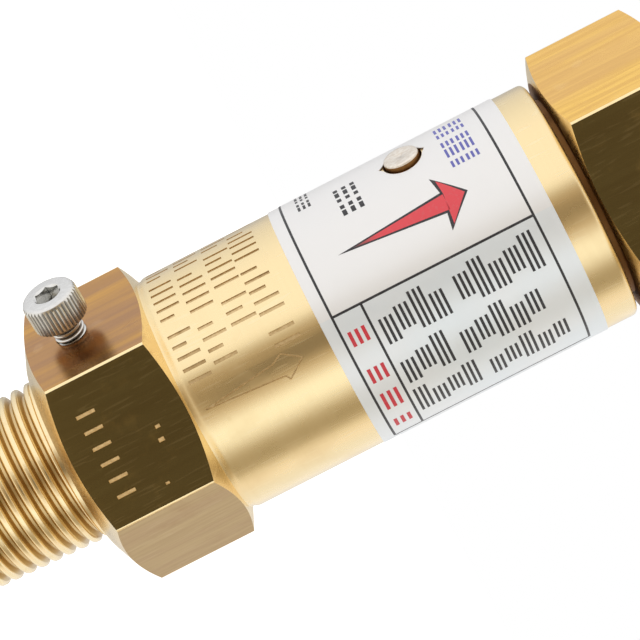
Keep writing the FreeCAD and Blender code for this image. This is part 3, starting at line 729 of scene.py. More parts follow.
@dataclass(frozen=True)
class Film:
    """The label's white film, with a pale blue tint painted past one bearing as painted bluish shade."""

    name: str = "label_film"
    paper: Colour = (0.86, 0.865, 0.87)
    # The tint and the two bearings below place painted bluish shade on one side of the film.
    tint: Colour = (0.79, 0.85, 0.89)
    sheen: float = 0.25
    painted_shade_from: float = 53.9
    painted_shade_to: float = 147.0

    def build(self) -> bpy.types.Material:
        """The film's material."""
        material, wiring, shader, place = new_material(self.name)
        split = wiring.add("SeparateXYZ", {0: place})
        bearing = wiring.math("ARCTAN2", split.outputs[1], split.outputs[0])
        low, high = math.radians(self.painted_shade_from), math.radians(self.painted_shade_to)
        # Between the two bearings the film's colour takes the tint, mottled by a cloud noise, which is
        # painted bluish shade.
        inside = wiring.math(
            "MULTIPLY", wiring.math("GREATER_THAN", bearing, low),
            wiring.math("LESS_THAN", bearing, high),
        )
        cloud = wiring.add("TexNoise", {"Vector": place, "Scale": 90.0, "Detail": 3.0})
        painted_bluish_shade = wiring.mix(wiring.fade(cloud.outputs[0], 0.3, 0.7), self.tint,
                            tuple(0.5 * (a + b) for a, b in zip(self.tint, self.paper)))
        colour = wiring.mix(inside, self.paper, painted_bluish_shade)
        wiring.tree.links.new(colour, shader.inputs["Base Color"])
        grain = wiring.add("TexNoise", {"Vector": place, "Scale": 900.0, "Detail": 2.0})
        rough = wiring.math("ADD", wiring.math("MULTIPLY", grain.outputs[0], 0.12), 0.26)
        wiring.tree.links.new(rough, shader.inputs["Roughness"])
        shader.inputs["Metallic"].default_value = self.sheen
        bump = wiring.add("Bump", {
            "Strength": 0.5, "Distance": 0.003 * MILLIMETRE, "Height": grain.outputs[0],
        })
        wiring.tree.links.new(bump.outputs[0], shader.inputs["Normal"])
        return material


@dataclass(frozen=True)
class Rubber:
    """A moulded rubber or plastic."""

    name: str
    colour: Colour
    bloom: Colour
    roughness: float = 0.55

    def build(self) -> bpy.types.Material:
        """The material of this rubber."""
        material, wiring, shader, place = new_material(self.name)
        grain = wiring.add("TexNoise", {"Vector": place, "Scale": 700.0, "Detail": 5.0})
        colour = wiring.mix(wiring.fade(grain.outputs[0], 0.4, 0.8), self.colour, self.bloom)
        wiring.tree.links.new(colour, shader.inputs["Base Color"])
        rough = wiring.math("ADD", wiring.math("MULTIPLY", grain.outputs[0], 0.2), self.roughness - 0.1)
        wiring.tree.links.new(rough, shader.inputs["Roughness"])
        bump = wiring.add("Bump", {
            "Strength": 0.4, "Distance": 0.02 * MILLIMETRE, "Height": grain.outputs[0],
        })
        wiring.tree.links.new(bump.outputs[0], shader.inputs["Normal"])
        return material


# ---------------------------------------------------------------- finishes

TURNED_BRASS = Metal(
    "turned_brass", base=(0.90, 0.74, 0.44), streak=(0.80, 0.62, 0.33), stain=(0.62, 0.42, 0.17),
    roughness=0.27, anisotropy=0.7, mark_width=0.45, mark_amount=0.55, stain_amount=0.12,
    stain_size=9.0, bump=0.004, scratches=0.15, scratch_colour=(0.98, 0.88, 0.62), specks=0.15,
)
THREAD_BRASS = Metal(
    "thread_brass", base=(0.93, 0.77, 0.47), streak=(0.82, 0.63, 0.34), stain=(0.62, 0.42, 0.19),
    roughness=0.2, mark_width=0.25, mark_amount=0.5, stain_amount=0.25, stain_size=3.0, bump=0.003,
)
# Darker brass for the thread's roots, which is painted shade in the grooves.
PAINTED_SHADE_ROOT_BRASS = Metal(
    "thread_root_painted_shade_brass", base=(0.70, 0.53, 0.27), streak=(0.56, 0.39, 0.17), stain=(0.4, 0.25, 0.1),
    roughness=0.3, mark_width=0.25, mark_amount=0.5, stain_amount=0.3, stain_size=3.0, bump=0.003,
)
CHAMFER_BRASS = Metal(
    "chamfer_brass", base=(0.97, 0.79, 0.46), streak=(0.86, 0.64, 0.32), stain=(0.62, 0.40, 0.16),
    roughness=0.26, mark_width=0.3, mark_amount=0.5, stain_amount=0.2, bump=0.005,
)
BORE_BRASS = Metal(
    "bored_brass", base=(0.62, 0.42, 0.18), streak=(0.45, 0.27, 0.10), stain=(0.22, 0.12, 0.05),
    roughness=0.34, mark_width=0.3, mark_amount=0.6, stain_amount=0.5, bump=0.008,
)
# Near-black brass that is painted shade, for the pin's side and sink and the outlet's neck, where shade
# falls in the gaps.
PAINTED_SHADE_BRASS = Metal(
    "painted_shade_brass", base=(0.30, 0.15, 0.05), streak=(0.20, 0.09, 0.03), stain=(0.08, 0.035, 0.012),
    roughness=0.5, mark_width=0.3, mark_amount=0.5, stain_amount=0.6, bump=0.006,
)
ENGRAVED_BRASS = Metal(
    "engraved_brass", base=(0.74, 0.57, 0.32), streak=(0.60, 0.44, 0.22), stain=(0.42, 0.28, 0.12),
    grain=Grain.PLAIN, roughness=0.5, mark_width=0.3, mark_amount=0.7, stain_amount=0.5, bump=0.02,
)
STAMPED_BRASS = Metal(
    "stamped_brass", base=(0.95, 0.74, 0.42), streak=(0.70, 0.50, 0.24), stain=(0.3, 0.19, 0.08),
    grain=Grain.PLAIN, roughness=0.5, mark_width=0.3, mark_amount=0.6, stain_amount=0.2, bump=0.02,
)
# The four drawn-brass finishes below are one brass in four tones, each tone a painted reflection of what
# that flat mirrors, from the dark olive to the bright golden. Their streaks, scratches and specks are
# real wear.
PAINTED_DARK_REFLECTION_FLAT = Metal(
    "drawn_brass_painted_dark_reflection", base=(0.46, 0.36, 0.145), streak=(0.40, 0.30, 0.115), stain=(0.31, 0.21, 0.075),
    grain=Grain.DRAWN, roughness=0.15, mark_width=0.8, mark_amount=0.5, bands=0.15,
    stain_amount=0.3, stain_size=4.0, scratches=0.09, specks=0.3, bump=0.001,
)
PAINTED_BROWN_REFLECTION_FLAT = Metal(
    "drawn_brass_painted_brown_reflection", base=(0.60, 0.33, 0.095), streak=(0.44, 0.24, 0.10), stain=(0.37, 0.21, 0.13),
    grain=Grain.DRAWN, roughness=0.22, mark_width=0.9, mark_amount=0.7, bands=0.6,
    stain_amount=0.3, stain_size=5.0, scratches=0.1, scratch_colour=(0.85, 0.62, 0.38), bump=0.002,
)
PAINTED_TAN_REFLECTION_FLAT = Metal(
    "drawn_brass_painted_tan_reflection", base=(0.455, 0.315, 0.14), streak=(0.385, 0.255, 0.105), stain=(0.37, 0.22, 0.105),
    grain=Grain.DRAWN, roughness=0.28, mark_width=0.5, mark_amount=0.7, bands=0.3,
    stain_amount=0.25, stain_size=5.0, scratches=0.1, scratch_colour=(0.8, 0.65, 0.45), bump=0.003,
)
PAINTED_GOLDEN_REFLECTION_FLAT = Metal(
    "drawn_brass_painted_golden_reflection", base=(0.94, 0.60, 0.155), streak=(0.76, 0.45, 0.12), stain=(0.70, 0.41, 0.17),
    grain=Grain.DRAWN, roughness=0.25, mark_width=0.7, mark_amount=0.7, bands=0.45,
    stain_amount=0.2, stain_size=5.0, scratches=0.1, scratch_colour=(0.95, 0.75, 0.4), bump=0.003,
)
INNER_BRASS = Metal(
    "inner_brass", base=(0.86, 0.66, 0.34), streak=(0.70, 0.50, 0.22), stain=(0.5, 0.32, 0.13),
    roughness=0.26, mark_width=0.3, mark_amount=0.5, stain_amount=0.2, bump=0.004,
)
BRONZE = Metal(
    "bronze", base=(0.62, 0.36, 0.18), streak=(0.50, 0.27, 0.13), stain=(0.32, 0.17, 0.08),
    roughness=0.38, mark_width=0.3, mark_amount=0.6, stain_amount=0.35, bump=0.006,
)
STAINLESS = Metal(
    "stainless_steel", base=(0.62, 0.61, 0.58), streak=(0.48, 0.47, 0.45), stain=(0.4, 0.38, 0.35),
    roughness=0.24, mark_width=0.25, mark_amount=0.5, stain_amount=0.15, bump=0.003,
)
SPRING_STEEL = Metal(
    "spring_steel", base=(0.34, 0.34, 0.35), streak=(0.25, 0.25, 0.26), stain=(0.2, 0.16, 0.12),
    grain=Grain.PLAIN, roughness=0.34, mark_width=0.5, mark_amount=0.5, stain_amount=0.25, bump=0.004,
)
# Darker nickel, which is painted shade for the knurl's grooves and the thread's roots.
NICKEL_SHADE = Metal(
    "nickel_plate_shaded", base=(0.34, 0.34, 0.33), streak=(0.26, 0.26, 0.25), stain=(0.2, 0.19, 0.18),
    grain=Grain.PLAIN, roughness=0.2, mark_width=0.4, mark_amount=0.4, stain_amount=0.2,
    stain_size=1.5, bump=0.0015,
)
NICKEL = Metal(
    "nickel_plate", base=(0.70, 0.70, 0.68), streak=(0.60, 0.59, 0.57), stain=(0.45, 0.42, 0.38),
    grain=Grain.PLAIN, roughness=0.15, mark_width=0.4, mark_amount=0.4, stain_amount=0.15,
    stain_size=1.5, scratches=0.05, scratch_colour=(0.95, 0.94, 0.92), bump=0.0015,
)
PIN_STEEL = Metal(
    "pin_steel", base=(0.84, 0.79, 0.71), streak=(0.70, 0.62, 0.52), stain=(0.50, 0.42, 0.34),
    grain=Grain.PLAIN, roughness=0.38, mark_width=0.35, mark_amount=0.7, stain_amount=0.4,
    stain_size=1.2, bump=0.01,
)
ALUMINIUM = Metal(
    "soft_aluminium", base=(0.72, 0.72, 0.73), streak=(0.6, 0.6, 0.61), stain=(0.45, 0.45, 0.46),
    grain=Grain.PLAIN, roughness=0.36, mark_width=0.3, mark_amount=0.5, stain_amount=0.2, bump=0.004,
)
SEAT_RUBBER = Rubber("seat_rubber", (0.035, 0.032, 0.03), (0.07, 0.065, 0.06))
SEAL_RUBBER = Rubber("seal_rubber", (0.02, 0.02, 0.02), (0.06, 0.06, 0.06), roughness=0.45)
LABEL_FILM = Film()
BLACK_INK = Ink("black_ink", (0.025, 0.025, 0.03))
BLUE_INK = Ink("blue_ink", (0.13, 0.14, 0.50))
RED_INK = Ink("red_ink", (0.62, 0.03, 0.05))
ARROW_INK = Ink("arrow_ink", (0.78, 0.07, 0.09), tail=(0.10, 0.08, 0.08), fade_from=60.5, fade_to=64.5)


# ---------------------------------------------------------------- sub-assemblies


@dataclass
class PipeThread:
    """A 14-to-the-inch pipe thread's form."""

    pitch: float = 25.4 / 14
    depth: float = 1.162

    @property
    def flat(self) -> float:
        """The width of a crest or root."""
        return self.pitch / 6


@dataclass
class HexBlock:
    """A hexagon whose ends are turned to a cone."""

    flats: float
    low: float
    high: float
    low_radius: float
    low_degrees: float
    high_radius: float
    high_degrees: float
    edge: float = 0.2

    def build(self, name: str) -> bpy.types.Object:
        """Builds the hexagon.

        Args:
            name: The new object's name.

        Returns:
            The solid, in millimetres.
        """
        rim = self.flats / math.sqrt(3) + 1
        rise = (rim - self.low_radius) * math.tan(math.radians(self.low_degrees))
        fall = (rim - self.high_radius) * math.tan(math.radians(self.high_degrees))
        block = lathe(name, [
            (0, self.low), (self.low_radius, self.low), (rim, self.low + rise),
            (rim, self.high - fall), (self.high_radius, self.high), (0, self.high),
        ], steps=288)
        bar = hex_bar("hexagon", self.flats, self.low - 1, self.high + 1)
        round_edges(bar, self.edge, 2, lambda first, second: abs(first.z - second.z) > 1)
        combine(block, bar, "INTERSECT")
        return block


def flat_bearing(centre: Vector, normal: Vector, flats: float) -> int | None:
    """Which of a hexagon's flats a face lies on.

    Args:
        centre: The face's centre, in millimetres.
        normal: Its normal.
        flats: The hexagon's size across flats.

    Returns:
        The flat's number of sixths of a turn from +X, or None.
    """
    if abs(normal.z) > 0.05 or abs(centre.xy.dot(normal.xy) - flats / 2) > 0.02:
        return None
    return round(math.degrees(math.atan2(normal.y, normal.x)) / 60) % 6


@dataclass
class ValveBody:
    """The one-piece body: threaded inlet, hexagon and barrel."""

    flats: float = 32.0
    hex_low: float = 18.5
    hex_high: float = 35.1
    barrel_radius: float = 15.75
    barrel_high: float = field(default_factory=lambda: span_mm("valve_body", 2)[1])
    inlet_gauge_radius: float = 20.955 / 2
    inlet_gauge_height: float = 8.2
    inlet_taper: float = 1 / 32
    bore: float = 6.0
    nozzle_socket: float = field(default_factory=lambda: span_mm("seat_nozzle", 2)[0])
    nozzle_radius: float = 7.83
    chamber_low: float = 22.8
    chamber_radius: float = 12.3
    chamber_high: float = 64.0
    screw_bore: float = 13.2
    outlet_socket_low: float = 78.6
    outlet_socket: float = 13.9
    pin_height: float = field(default_factory=lambda: sum(span_mm("adjuster_lock_pin", 2)) / 2)
    pin_bearing: float = -4.3
    pin_radius: float = 2.25
    lock_height: float = field(default_factory=lambda: sum(span_mm("lock_pad", 2)) / 2)
    lock_radius: float = 2.05
    groove: float = 0.14
    thread: PipeThread = field(default_factory=PipeThread)

    def crest(self, height: float) -> float:
        """The male thread's crest radius at a height."""
        return self.inlet_gauge_radius + (height - self.inlet_gauge_height) * self.inlet_taper

    def outside(self) -> bpy.types.Object:
        """The body's outer shape, solid."""
        neck = self.hex_low - 0.95
        nipple = lathe("valve_body_shell", [
            (0, 0), (self.crest(0) - 0.9, 0), (self.crest(0.9), 0.9), (self.crest(neck), neck),
            (9.3, neck + 0.37), (9.3, neck + 0.8), (0, neck + 0.8),
        ])
        turns = int(self.hex_low / self.thread.pitch) + 1
        low = -self.thread.pitch
        combine(nipple, thread_tool(
            self.crest(0), self.thread.pitch, self.thread.depth, self.thread.flat, low, turns,
            taper=self.inlet_taper,
        ), "DIFFERENCE")
        collar = self.crest(neck)
        combine(nipple, lathe("collar", [
            (0, neck), (collar - 0.15, neck), (collar, neck + 0.15), (collar, self.hex_low + 1),
            (0, self.hex_low + 1),
        ]), "UNION")
        block = HexBlock(
            self.flats, self.hex_low, self.hex_high, 13.0, 24.0, self.barrel_radius - 0.25, 24.0
        ).build("inlet_hexagon")
        combine(nipple, block, "UNION")
        step = self.hex_high + 0.7
        top = self.barrel_high
        rounding = [
            (self.barrel_radius - 0.75 * (1 - math.cos(a)), top - 0.75 * (1 - math.sin(a)))
            for a in (math.radians(15 * k) for k in range(7))
        ]
        barrel = lathe("barrel", [
            (0, self.hex_high - 1), (self.barrel_radius - 0.25, self.hex_high - 1),
            (self.barrel_radius - 0.25, step - 0.35), (self.barrel_radius - 0.08, step),
            (self.barrel_radius, step + 0.4), *rounding, (0, top),
        ], steps=720)
        combine(nipple, barrel, "UNION")
        return nipple

    def bores(self) -> bpy.types.Object:
        """The stepped hole through the body, as one tool."""
        top = self.barrel_high
        return lathe("body_bores", [
            (0, -4), (self.bore + 0.3, -4), (self.bore + 0.3, 0), (self.bore, 0.3),
            (self.bore, self.nozzle_socket), (self.nozzle_radius, self.nozzle_socket),
            (self.nozzle_radius, self.chamber_low), (self.chamber_radius, self.chamber_low),
            (self.chamber_radius, self.chamber_high),
            (self.screw_bore, self.chamber_high + self.screw_bore - self.chamber_radius),
            (self.screw_bore, self.outlet_socket_low), (self.outlet_socket, self.outlet_socket_low),
            (self.outlet_socket, top - 0.3), (self.outlet_socket + 0.3, top),
            (self.outlet_socket + 0.3, top + 4), (0, top + 4),
        ], steps=128)

    def engraving(self) -> bpy.types.Object:
        """The tool that cuts a flow arrow and four columns of ticks into the barrel."""
        arrow = [
            ((36.9, 64.3), (46.2, 60.1)), ((46.2, 60.1), (47.6, 57.4)), ((47.6, 57.4), (49.8, 62.9)),
            ((49.8, 62.9), (47.4, 69.1)), ((47.4, 69.1), (47.0, 66.8)), ((47.0, 66.8), (36.9, 64.3)),
        ]
        strokes = [(start, end, 0.2) for start, end in arrow]
        columns = [(36.6, 39.3, 51.0), (40.3, 43.1, 48.2), (44.1, 47.1, 36.7), (47.6, 50.6, 53.6)]
        for index, (low, high, last) in enumerate(columns):
            bearing = last
            count = 0
            while bearing > -42:
                short = (count * 5 + index * 3) % 7 in (1, 4)
                end = high - (1.1 if short else 0)
                strokes.append(((low, bearing), (end, bearing), 0.44))
                bearing -= 5.6 if (count + index) % 5 != 4 else 9.5
                count += 1
        return stroke_tool("engraving", strokes, self.barrel_radius, self.groove)

    def stamping(self) -> bpy.types.Object:
        """The tool that stamps a row of ticks and two dots into the flat at 60 degrees."""
        marks = [(24.0, 5.7 - 2.1 * k, 1.2, 0.42) for k in range(6)]
        marks += [(30.6, 1.9, 0.36, 0.5), (30.9, 0.3, 0.3, 0.4), (28.9, 6.8, 0.25, 0.3)]
        tool = None
        for height, along, tall, wide in marks:
            bpy.ops.object.select_all(action="DESELECT")
            bpy.ops.mesh.primitive_cube_add(size=2, scale=(0.15, wide / 2, tall))
            mark = bpy.context.object
            apply_place(mark)
            mark.data.transform(
                Matrix.Rotation(math.radians(60), 4, "Z")
                @ Matrix.Translation((self.flats / 2, along, height))
            )
            if tool is None:
                tool = mark
            else:
                combine(tool, mark, "UNION")
        tool.name = "stamping"
        return tool

    def build(self) -> None:
        """Builds the body and dresses it."""
        body = self.outside()
        combine(body, self.bores(), "DIFFERENCE")
        combine(body, rod("lock_hole", self.lock_radius, 6, 24, self.lock_height), "DIFFERENCE")
        pin_hole = rod("pin_hole", self.pin_radius, 6, 20, self.pin_height, self.pin_bearing)
        combine(body, pin_hole, "DIFFERENCE")
        sink = rod("pin_sink", self.pin_radius, self.barrel_radius - 0.9, self.barrel_radius + 0.6,
                   self.pin_height, self.pin_bearing, outer_radius=self.pin_radius + 0.5)
        combine(body, sink, "DIFFERENCE")
        combine(body, self.engraving(), "DIFFERENCE")
        combine(body, self.stamping(), "DIFFERENCE")
        finish_piece(body, "valve", ["valve_body"])
        # Finishes 8 to 13 put a painted reflection on each of the hexagon's flats, one tone per flat.
        finishes = [TURNED_BRASS, THREAD_BRASS, CHAMFER_BRASS, BORE_BRASS, ENGRAVED_BRASS,
                    STAMPED_BRASS, PAINTED_SHADE_ROOT_BRASS, PAINTED_SHADE_BRASS, PAINTED_BROWN_REFLECTION_FLAT, PAINTED_DARK_REFLECTION_FLAT, PAINTED_TAN_REFLECTION_FLAT,
                    PAINTED_BROWN_REFLECTION_FLAT, PAINTED_DARK_REFLECTION_FLAT, PAINTED_TAN_REFLECTION_FLAT]
        dress(body, [finish_material(finish) for finish in finishes], self.choose, crisp_from=8)

    def choose(self, centre: Vector, normal: Vector) -> int:
        """Which finish a face of the body has, as an index into build's list."""
        radius = centre.xy.length
        out = centre.xy.dot(normal.xy)
        side = flat_bearing(centre, normal, self.flats)
        # Each flat of the hexagon takes the painted reflection tone listed for its bearing.
        if self.hex_low < centre.z < self.hex_high and side is not None:
            return 8 + side
        if centre.z < self.hex_low - 0.01:
            if radius < self.bore + 1.5:
                return 3
            # Faces deep in the thread's groove get the darker root brass, which is painted shade.
            return 6 if radius < self.crest(centre.z) - 0.6 * self.thread.depth else 1
        if out < -0.2 * radius and radius < self.outlet_socket + 0.5:
            return 3
        if radius < self.outlet_socket + 0.1:
            return 3 if centre.z < self.barrel_high - 0.05 else 0
        if centre.z < self.hex_high - 0.01:
            inner = centre.xy.dot(Vector((0.5, math.sqrt(3) / 2))) < self.flats / 2 - 0.1
            stamped = abs(normal.z) < 0.2 or abs(centre.z - 24) < 2
            if radius > 15.7 and inner and stamped and abs(normal.z) < 0.2:
                return 5
            return 2
        if 36.2 < centre.z < 51 and radius < self.barrel_radius - 0.015:
            return 4
        # The pin's hole and sink get near-black brass, which is painted shade round the pin.
        at_pin = abs(centre.z - self.pin_height) < self.pin_radius + 0.7 and centre.x > 0
        return 7 if at_pin and radius < self.barrel_radius - 0.03 else 0


def stroke_tool(name: str, strokes: Sequence[tuple[Point, Point, float]], radius: float,
                depth: float) -> bpy.types.Object:
    """Bars that follow a cylinder, to engrave lines with.

    Args:
        name: The new object's name.
        strokes: Each stroke's start and end as (height, bearing in degrees), and its width.
        radius: The cylinder's radius.
        depth: How deep the bars reach.

    Returns:
        The bars as one closed solid, in millimetres.
    """
    tool = None
    for start, end, width in strokes:
        here = Vector((radius * math.radians(start[1]), start[0]))
        there = Vector((radius * math.radians(end[1]), end[0]))
        run = there - here
        bpy.ops.object.select_all(action="DESELECT")
        cuts = max(2, int(abs(run.x) / 0.5) + 1)
        bpy.ops.mesh.primitive_grid_add(x_subdivisions=cuts, y_subdivisions=1, size=1)
        bar = bpy.context.object
        turn = Matrix.Rotation(math.atan2(run.y, run.x), 4, "Z")
        size = Matrix.Diagonal((run.length + width * 0.6, width, 1, 1))
        middle = (here + there) / 2
        bar.data.transform(Matrix.Translation((middle.x, middle.y, -depth)) @ turn @ size)
        edit(bar)
        bpy.ops.mesh.select_all(action="SELECT")
        bpy.ops.mesh.extrude_region_move(TRANSFORM_OT_translate={"value": (0, 0, depth + 0.3)})
        bpy.ops.mesh.select_all(action="SELECT")
        bpy.ops.mesh.normals_make_consistent(inside=False)
        leave_edit()
        for vertex in bar.data.vertices:
            angle = vertex.co.x / radius
            out = radius + vertex.co.z
            vertex.co = (out * math.cos(angle), out * math.sin(angle), vertex.co.y)
        edit(bar)
        bpy.ops.mesh.select_all(action="SELECT")
        bpy.ops.mesh.normals_make_consistent(inside=False)
        leave_edit()
        if tool is None:
            tool = bar
        else:
            combine(tool, bar, "UNION")
    tool.name = name
    return tool


@dataclass
class OutletConnector:
    """The hexagonal outlet with its female pipe thread."""

    flats: float = 32.0
    face: float = 89.0
    low: float = field(default_factory=lambda: span_mm("outlet_connector", 2)[0])
    high: float = field(default_factory=lambda: span_mm("outlet_connector", 2)[1])
    spigot: float = 13.87
    neck: float = 13.2
    neck_low: float = 86.6
    groove_low: float = 80.6
    groove_high: float = 82.8
    groove_floor: float = 12.5
    bore: float = 11.3
    minor: float = 24.117 / 2
    major: float = 26.441 / 2
    relief_low: float = 90.6
    relief_high: float = 92.2
    mouth: float = 1.4
    thread: PipeThread = field(default_factory=PipeThread)

    def build(self) -> None:
        """Builds the connector and dresses it."""
        piece = lathe("outlet_connector_shell", [
            (0, self.low), (self.spigot - 0.3, self.low), (self.spigot, self.low + 0.3),
            (self.spigot, self.groove_low), (self.groove_floor, self.groove_low),
            (self.groove_floor, self.groove_high), (self.spigot, self.groove_high),
            (self.spigot, self.neck_low), (self.neck, self.neck_low), (self.neck, self.face + 1),
            (0, self.face + 1),
        ])
        block = HexBlock(self.flats, self.face, self.high, 15.4, 19.0, 14.9, 30.0)
        combine(piece, block.build("outlet_hexagon"), "UNION")
        relief = self.major + 0.1
        combine(piece, lathe("outlet_bore", [
            (0, self.low - 4), (self.bore, self.low - 4), (self.bore, self.relief_low),
            (relief, self.relief_low), (relief, self.relief_high), (self.minor, self.relief_high),
            (self.minor, self.high - self.mouth), (self.minor + self.mouth, self.high),
            (self.minor + self.mouth, self.high + 4), (0, self.high + 4),
        ]), "DIFFERENCE")
        start = self.relief_high - 0.7
        turns = math.ceil((self.high + self.thread.pitch - start) / self.thread.pitch)
        combine(piece, thread_tool(
            self.minor, self.thread.pitch, self.thread.depth, self.thread.flat, start, turns,
            inside=True,
        ), "DIFFERENCE")
        finish_piece(piece, "valve", ["outlet_connector"])
        # Finishes 3 to 8 put a painted reflection on each of the hexagon's flats, one tone per flat.
        finishes = [CHAMFER_BRASS, THREAD_BRASS, PAINTED_SHADE_BRASS, PAINTED_GOLDEN_REFLECTION_FLAT, PAINTED_DARK_REFLECTION_FLAT, PAINTED_TAN_REFLECTION_FLAT,
                    PAINTED_GOLDEN_REFLECTION_FLAT, PAINTED_DARK_REFLECTION_FLAT, PAINTED_TAN_REFLECTION_FLAT]
        dress(piece, [finish_material(finish) for finish in finishes], self.choose, crisp_from=3)

    def choose(self, centre: Vector, normal: Vector) -> int:
        """Which finish a face of the connector has, as an index into build's list."""
        side = flat_bearing(centre, normal, self.flats)
        if centre.z > self.face and side is not None:
            return 3 + side
        # The spigot, groove and neck below the hexagon's face get near-black brass, which is painted
        # shade between the parts.
        if centre.z < self.face + 0.02:
            return 2
        inner = self.major + 0.2
        return 1 if centre.xy.length < inner and centre.z < self.high - 0.02 else 0


@dataclass
class LockScrew:
    """The socket head cap screw in the inlet hexagon, with straight knurling."""

    radius: float = 2.0
    pitch: float = 0.7
    head_radius: float = 3.5
    head_height: float = 4.0
    ridges: int = 40
    knurl: float = 0.2
    key: float = 3.0
    key_depth: float = 2.2
    height: float = field(default_factory=lambda: sum(span_mm("lock_screw", 2)) / 2)
    tip: float = field(default_factory=lambda: span_mm("lock_screw", 0)[0])
    top: float = field(default_factory=lambda: span_mm("lock_screw", 0)[1])

    def head(self) -> bpy.types.Object:
        """The head, standing on Z = 0."""
        bpy.ops.object.select_all(action="DESELECT")
        bpy.ops.mesh.primitive_cylinder_add(
            vertices=8 * self.ridges, radius=self.head_radius, depth=self.head_height,
            location=(0, 0, self.head_height / 2),
        )
        bar = bpy.context.object
        apply_place(bar)
        for vertex in bar.data.vertices:
            angle = math.atan2(vertex.co.y, vertex.co.x)
            wave = 0.5 - 0.5 * math.cos(angle * self.ridges)
            vertex.co.x *= 1 - self.knurl / self.head_radius * wave
            vertex.co.y *= 1 - self.knurl / self.head_radius * wave
        rim = self.head_radius + 0.01
        form = lathe("head_form", [
            (0, 0), (self.head_radius - 0.3, 0), (self.head_radius - 0.14, 0.1), (rim, 0.35),
            (rim, self.head_height - 0.62), (self.head_radius - 0.13, self.head_height - 0.42),
            (self.head_radius - 0.22, self.head_height - 0.2),
            (self.head_radius - 0.42, self.head_height - 0.05),
            (self.head_radius - 0.62, self.head_height), (0, self.head_height),
        ], steps=160)
        combine(bar, form, "INTERSECT")
        floor = self.head_height - self.key_depth
        combine(bar, hex_bar("key_socket", self.key, floor, self.head_height + 2), "DIFFERENCE")
        drill = lathe("socket_bottom", [
            (0, floor - self.key / 4), (self.key / 2, floor), (self.key / 2, floor + 0.1),
            (0, floor + 0.1),
        ], steps=48)
        combine(bar, drill, "DIFFERENCE")
        bevel = lathe("socket_bevel", [
            (0, self.head_height - 0.3), (self.key / 2 + 0.02, self.head_height - 0.22),
            (self.key / math.sqrt(3) + 0.2, self.head_height + 0.12), (0, self.head_height + 0.12),
        ], steps=96)
        combine(bar, bevel, "DIFFERENCE")
        return bar

    def build(self) -> None:
        """Builds the screw, lays it along +X and dresses it."""
        length = self.top - self.tip - self.head_height
        screw = self.head()
        screw.name = "lock_screw_shell"
        shank = lathe("shank", [
            (0, -length), (self.radius - 0.5, -length), (self.radius, 0.5 - length),
            (self.radius, 0.2), (0, 0.2),
        ], steps=96)
        turns = int(length / self.pitch) + 1
        combine(shank, thread_tool(
            self.radius, self.pitch, 0.6134 * self.pitch, self.pitch / 8, -length - self.pitch,
            turns, steps=48,
        ), "DIFFERENCE")
        combine(screw, shank, "UNION")
        stand = Matrix.Translation((self.tip + length, 0, self.height))
        screw.data.transform(stand @ Matrix.Rotation(math.pi / 2, 4, "Y"))
        finish_piece(screw, "lock", ["lock_screw"])
        dress(screw, [finish_material(NICKEL), finish_material(NICKEL_SHADE)], self.choose)

    def choose(self, centre: Vector, normal: Vector) -> int:
        """Gives the grooves of the knurling and the thread's roots the darker nickel, which is painted
        shade and is 1.
        """
        out = math.hypot(centre.y, centre.z - self.height)
        if centre.x < self.top - self.head_height - 0.02:
            return int(out < self.radius - 0.22)
        on_side = abs(normal.x) < 0.3 and out > self.head_radius - 0.32
        return int(on_side and out < self.head_radius - 0.5 * self.knurl)


@dataclass
class LockPin:
    """The round pin through the barrel, with a slightly domed, worn end."""

    radius: float = 2.25
    inner: float = 12.27
    outer: float = 16.5
    bearing: float = -4.3
    height: float = field(default_factory=lambda: sum(span_mm("adjuster_lock_pin", 2)) / 2)

    def build(self) -> None:
        """Builds the pin and dresses it."""
        pin = lathe("lock_pin_shell", [
            (0, self.inner), (self.radius - 0.05, self.inner), (self.radius, self.inner + 0.1),
            (self.radius, self.outer - 0.3), (self.radius - 0.06, self.outer - 0.13),
            (self.radius - 0.2, self.outer - 0.04), (self.radius - 0.45, self.outer - 0.01),
            (0.4, self.outer), (0.3, self.outer - 0.05), (0, self.outer - 0.06),
        ], steps=96)
        stand = Matrix.Translation((0, 0, self.height))
        turn = Matrix.Rotation(math.radians(self.bearing), 4, "Z")
        pin.data.transform(stand @ turn @ Matrix.Rotation(math.pi / 2, 4, "Y"))
        finish_piece(pin, "valve", ["adjuster_lock_pin"])
        dress(pin, [finish_material(PIN_STEEL), finish_material(PAINTED_SHADE_BRASS)], self.choose)

    def choose(self, centre: Vector, normal: Vector) -> int:
        """Gives the pin's side finish 1, near-black brass that is painted shade for the gap round it, and
        its end finish 0.
        """
        axis = Vector((math.cos(math.radians(self.bearing)), math.sin(math.radians(self.bearing)), 0))
        return int(abs(normal.dot(axis)) < 0.3)


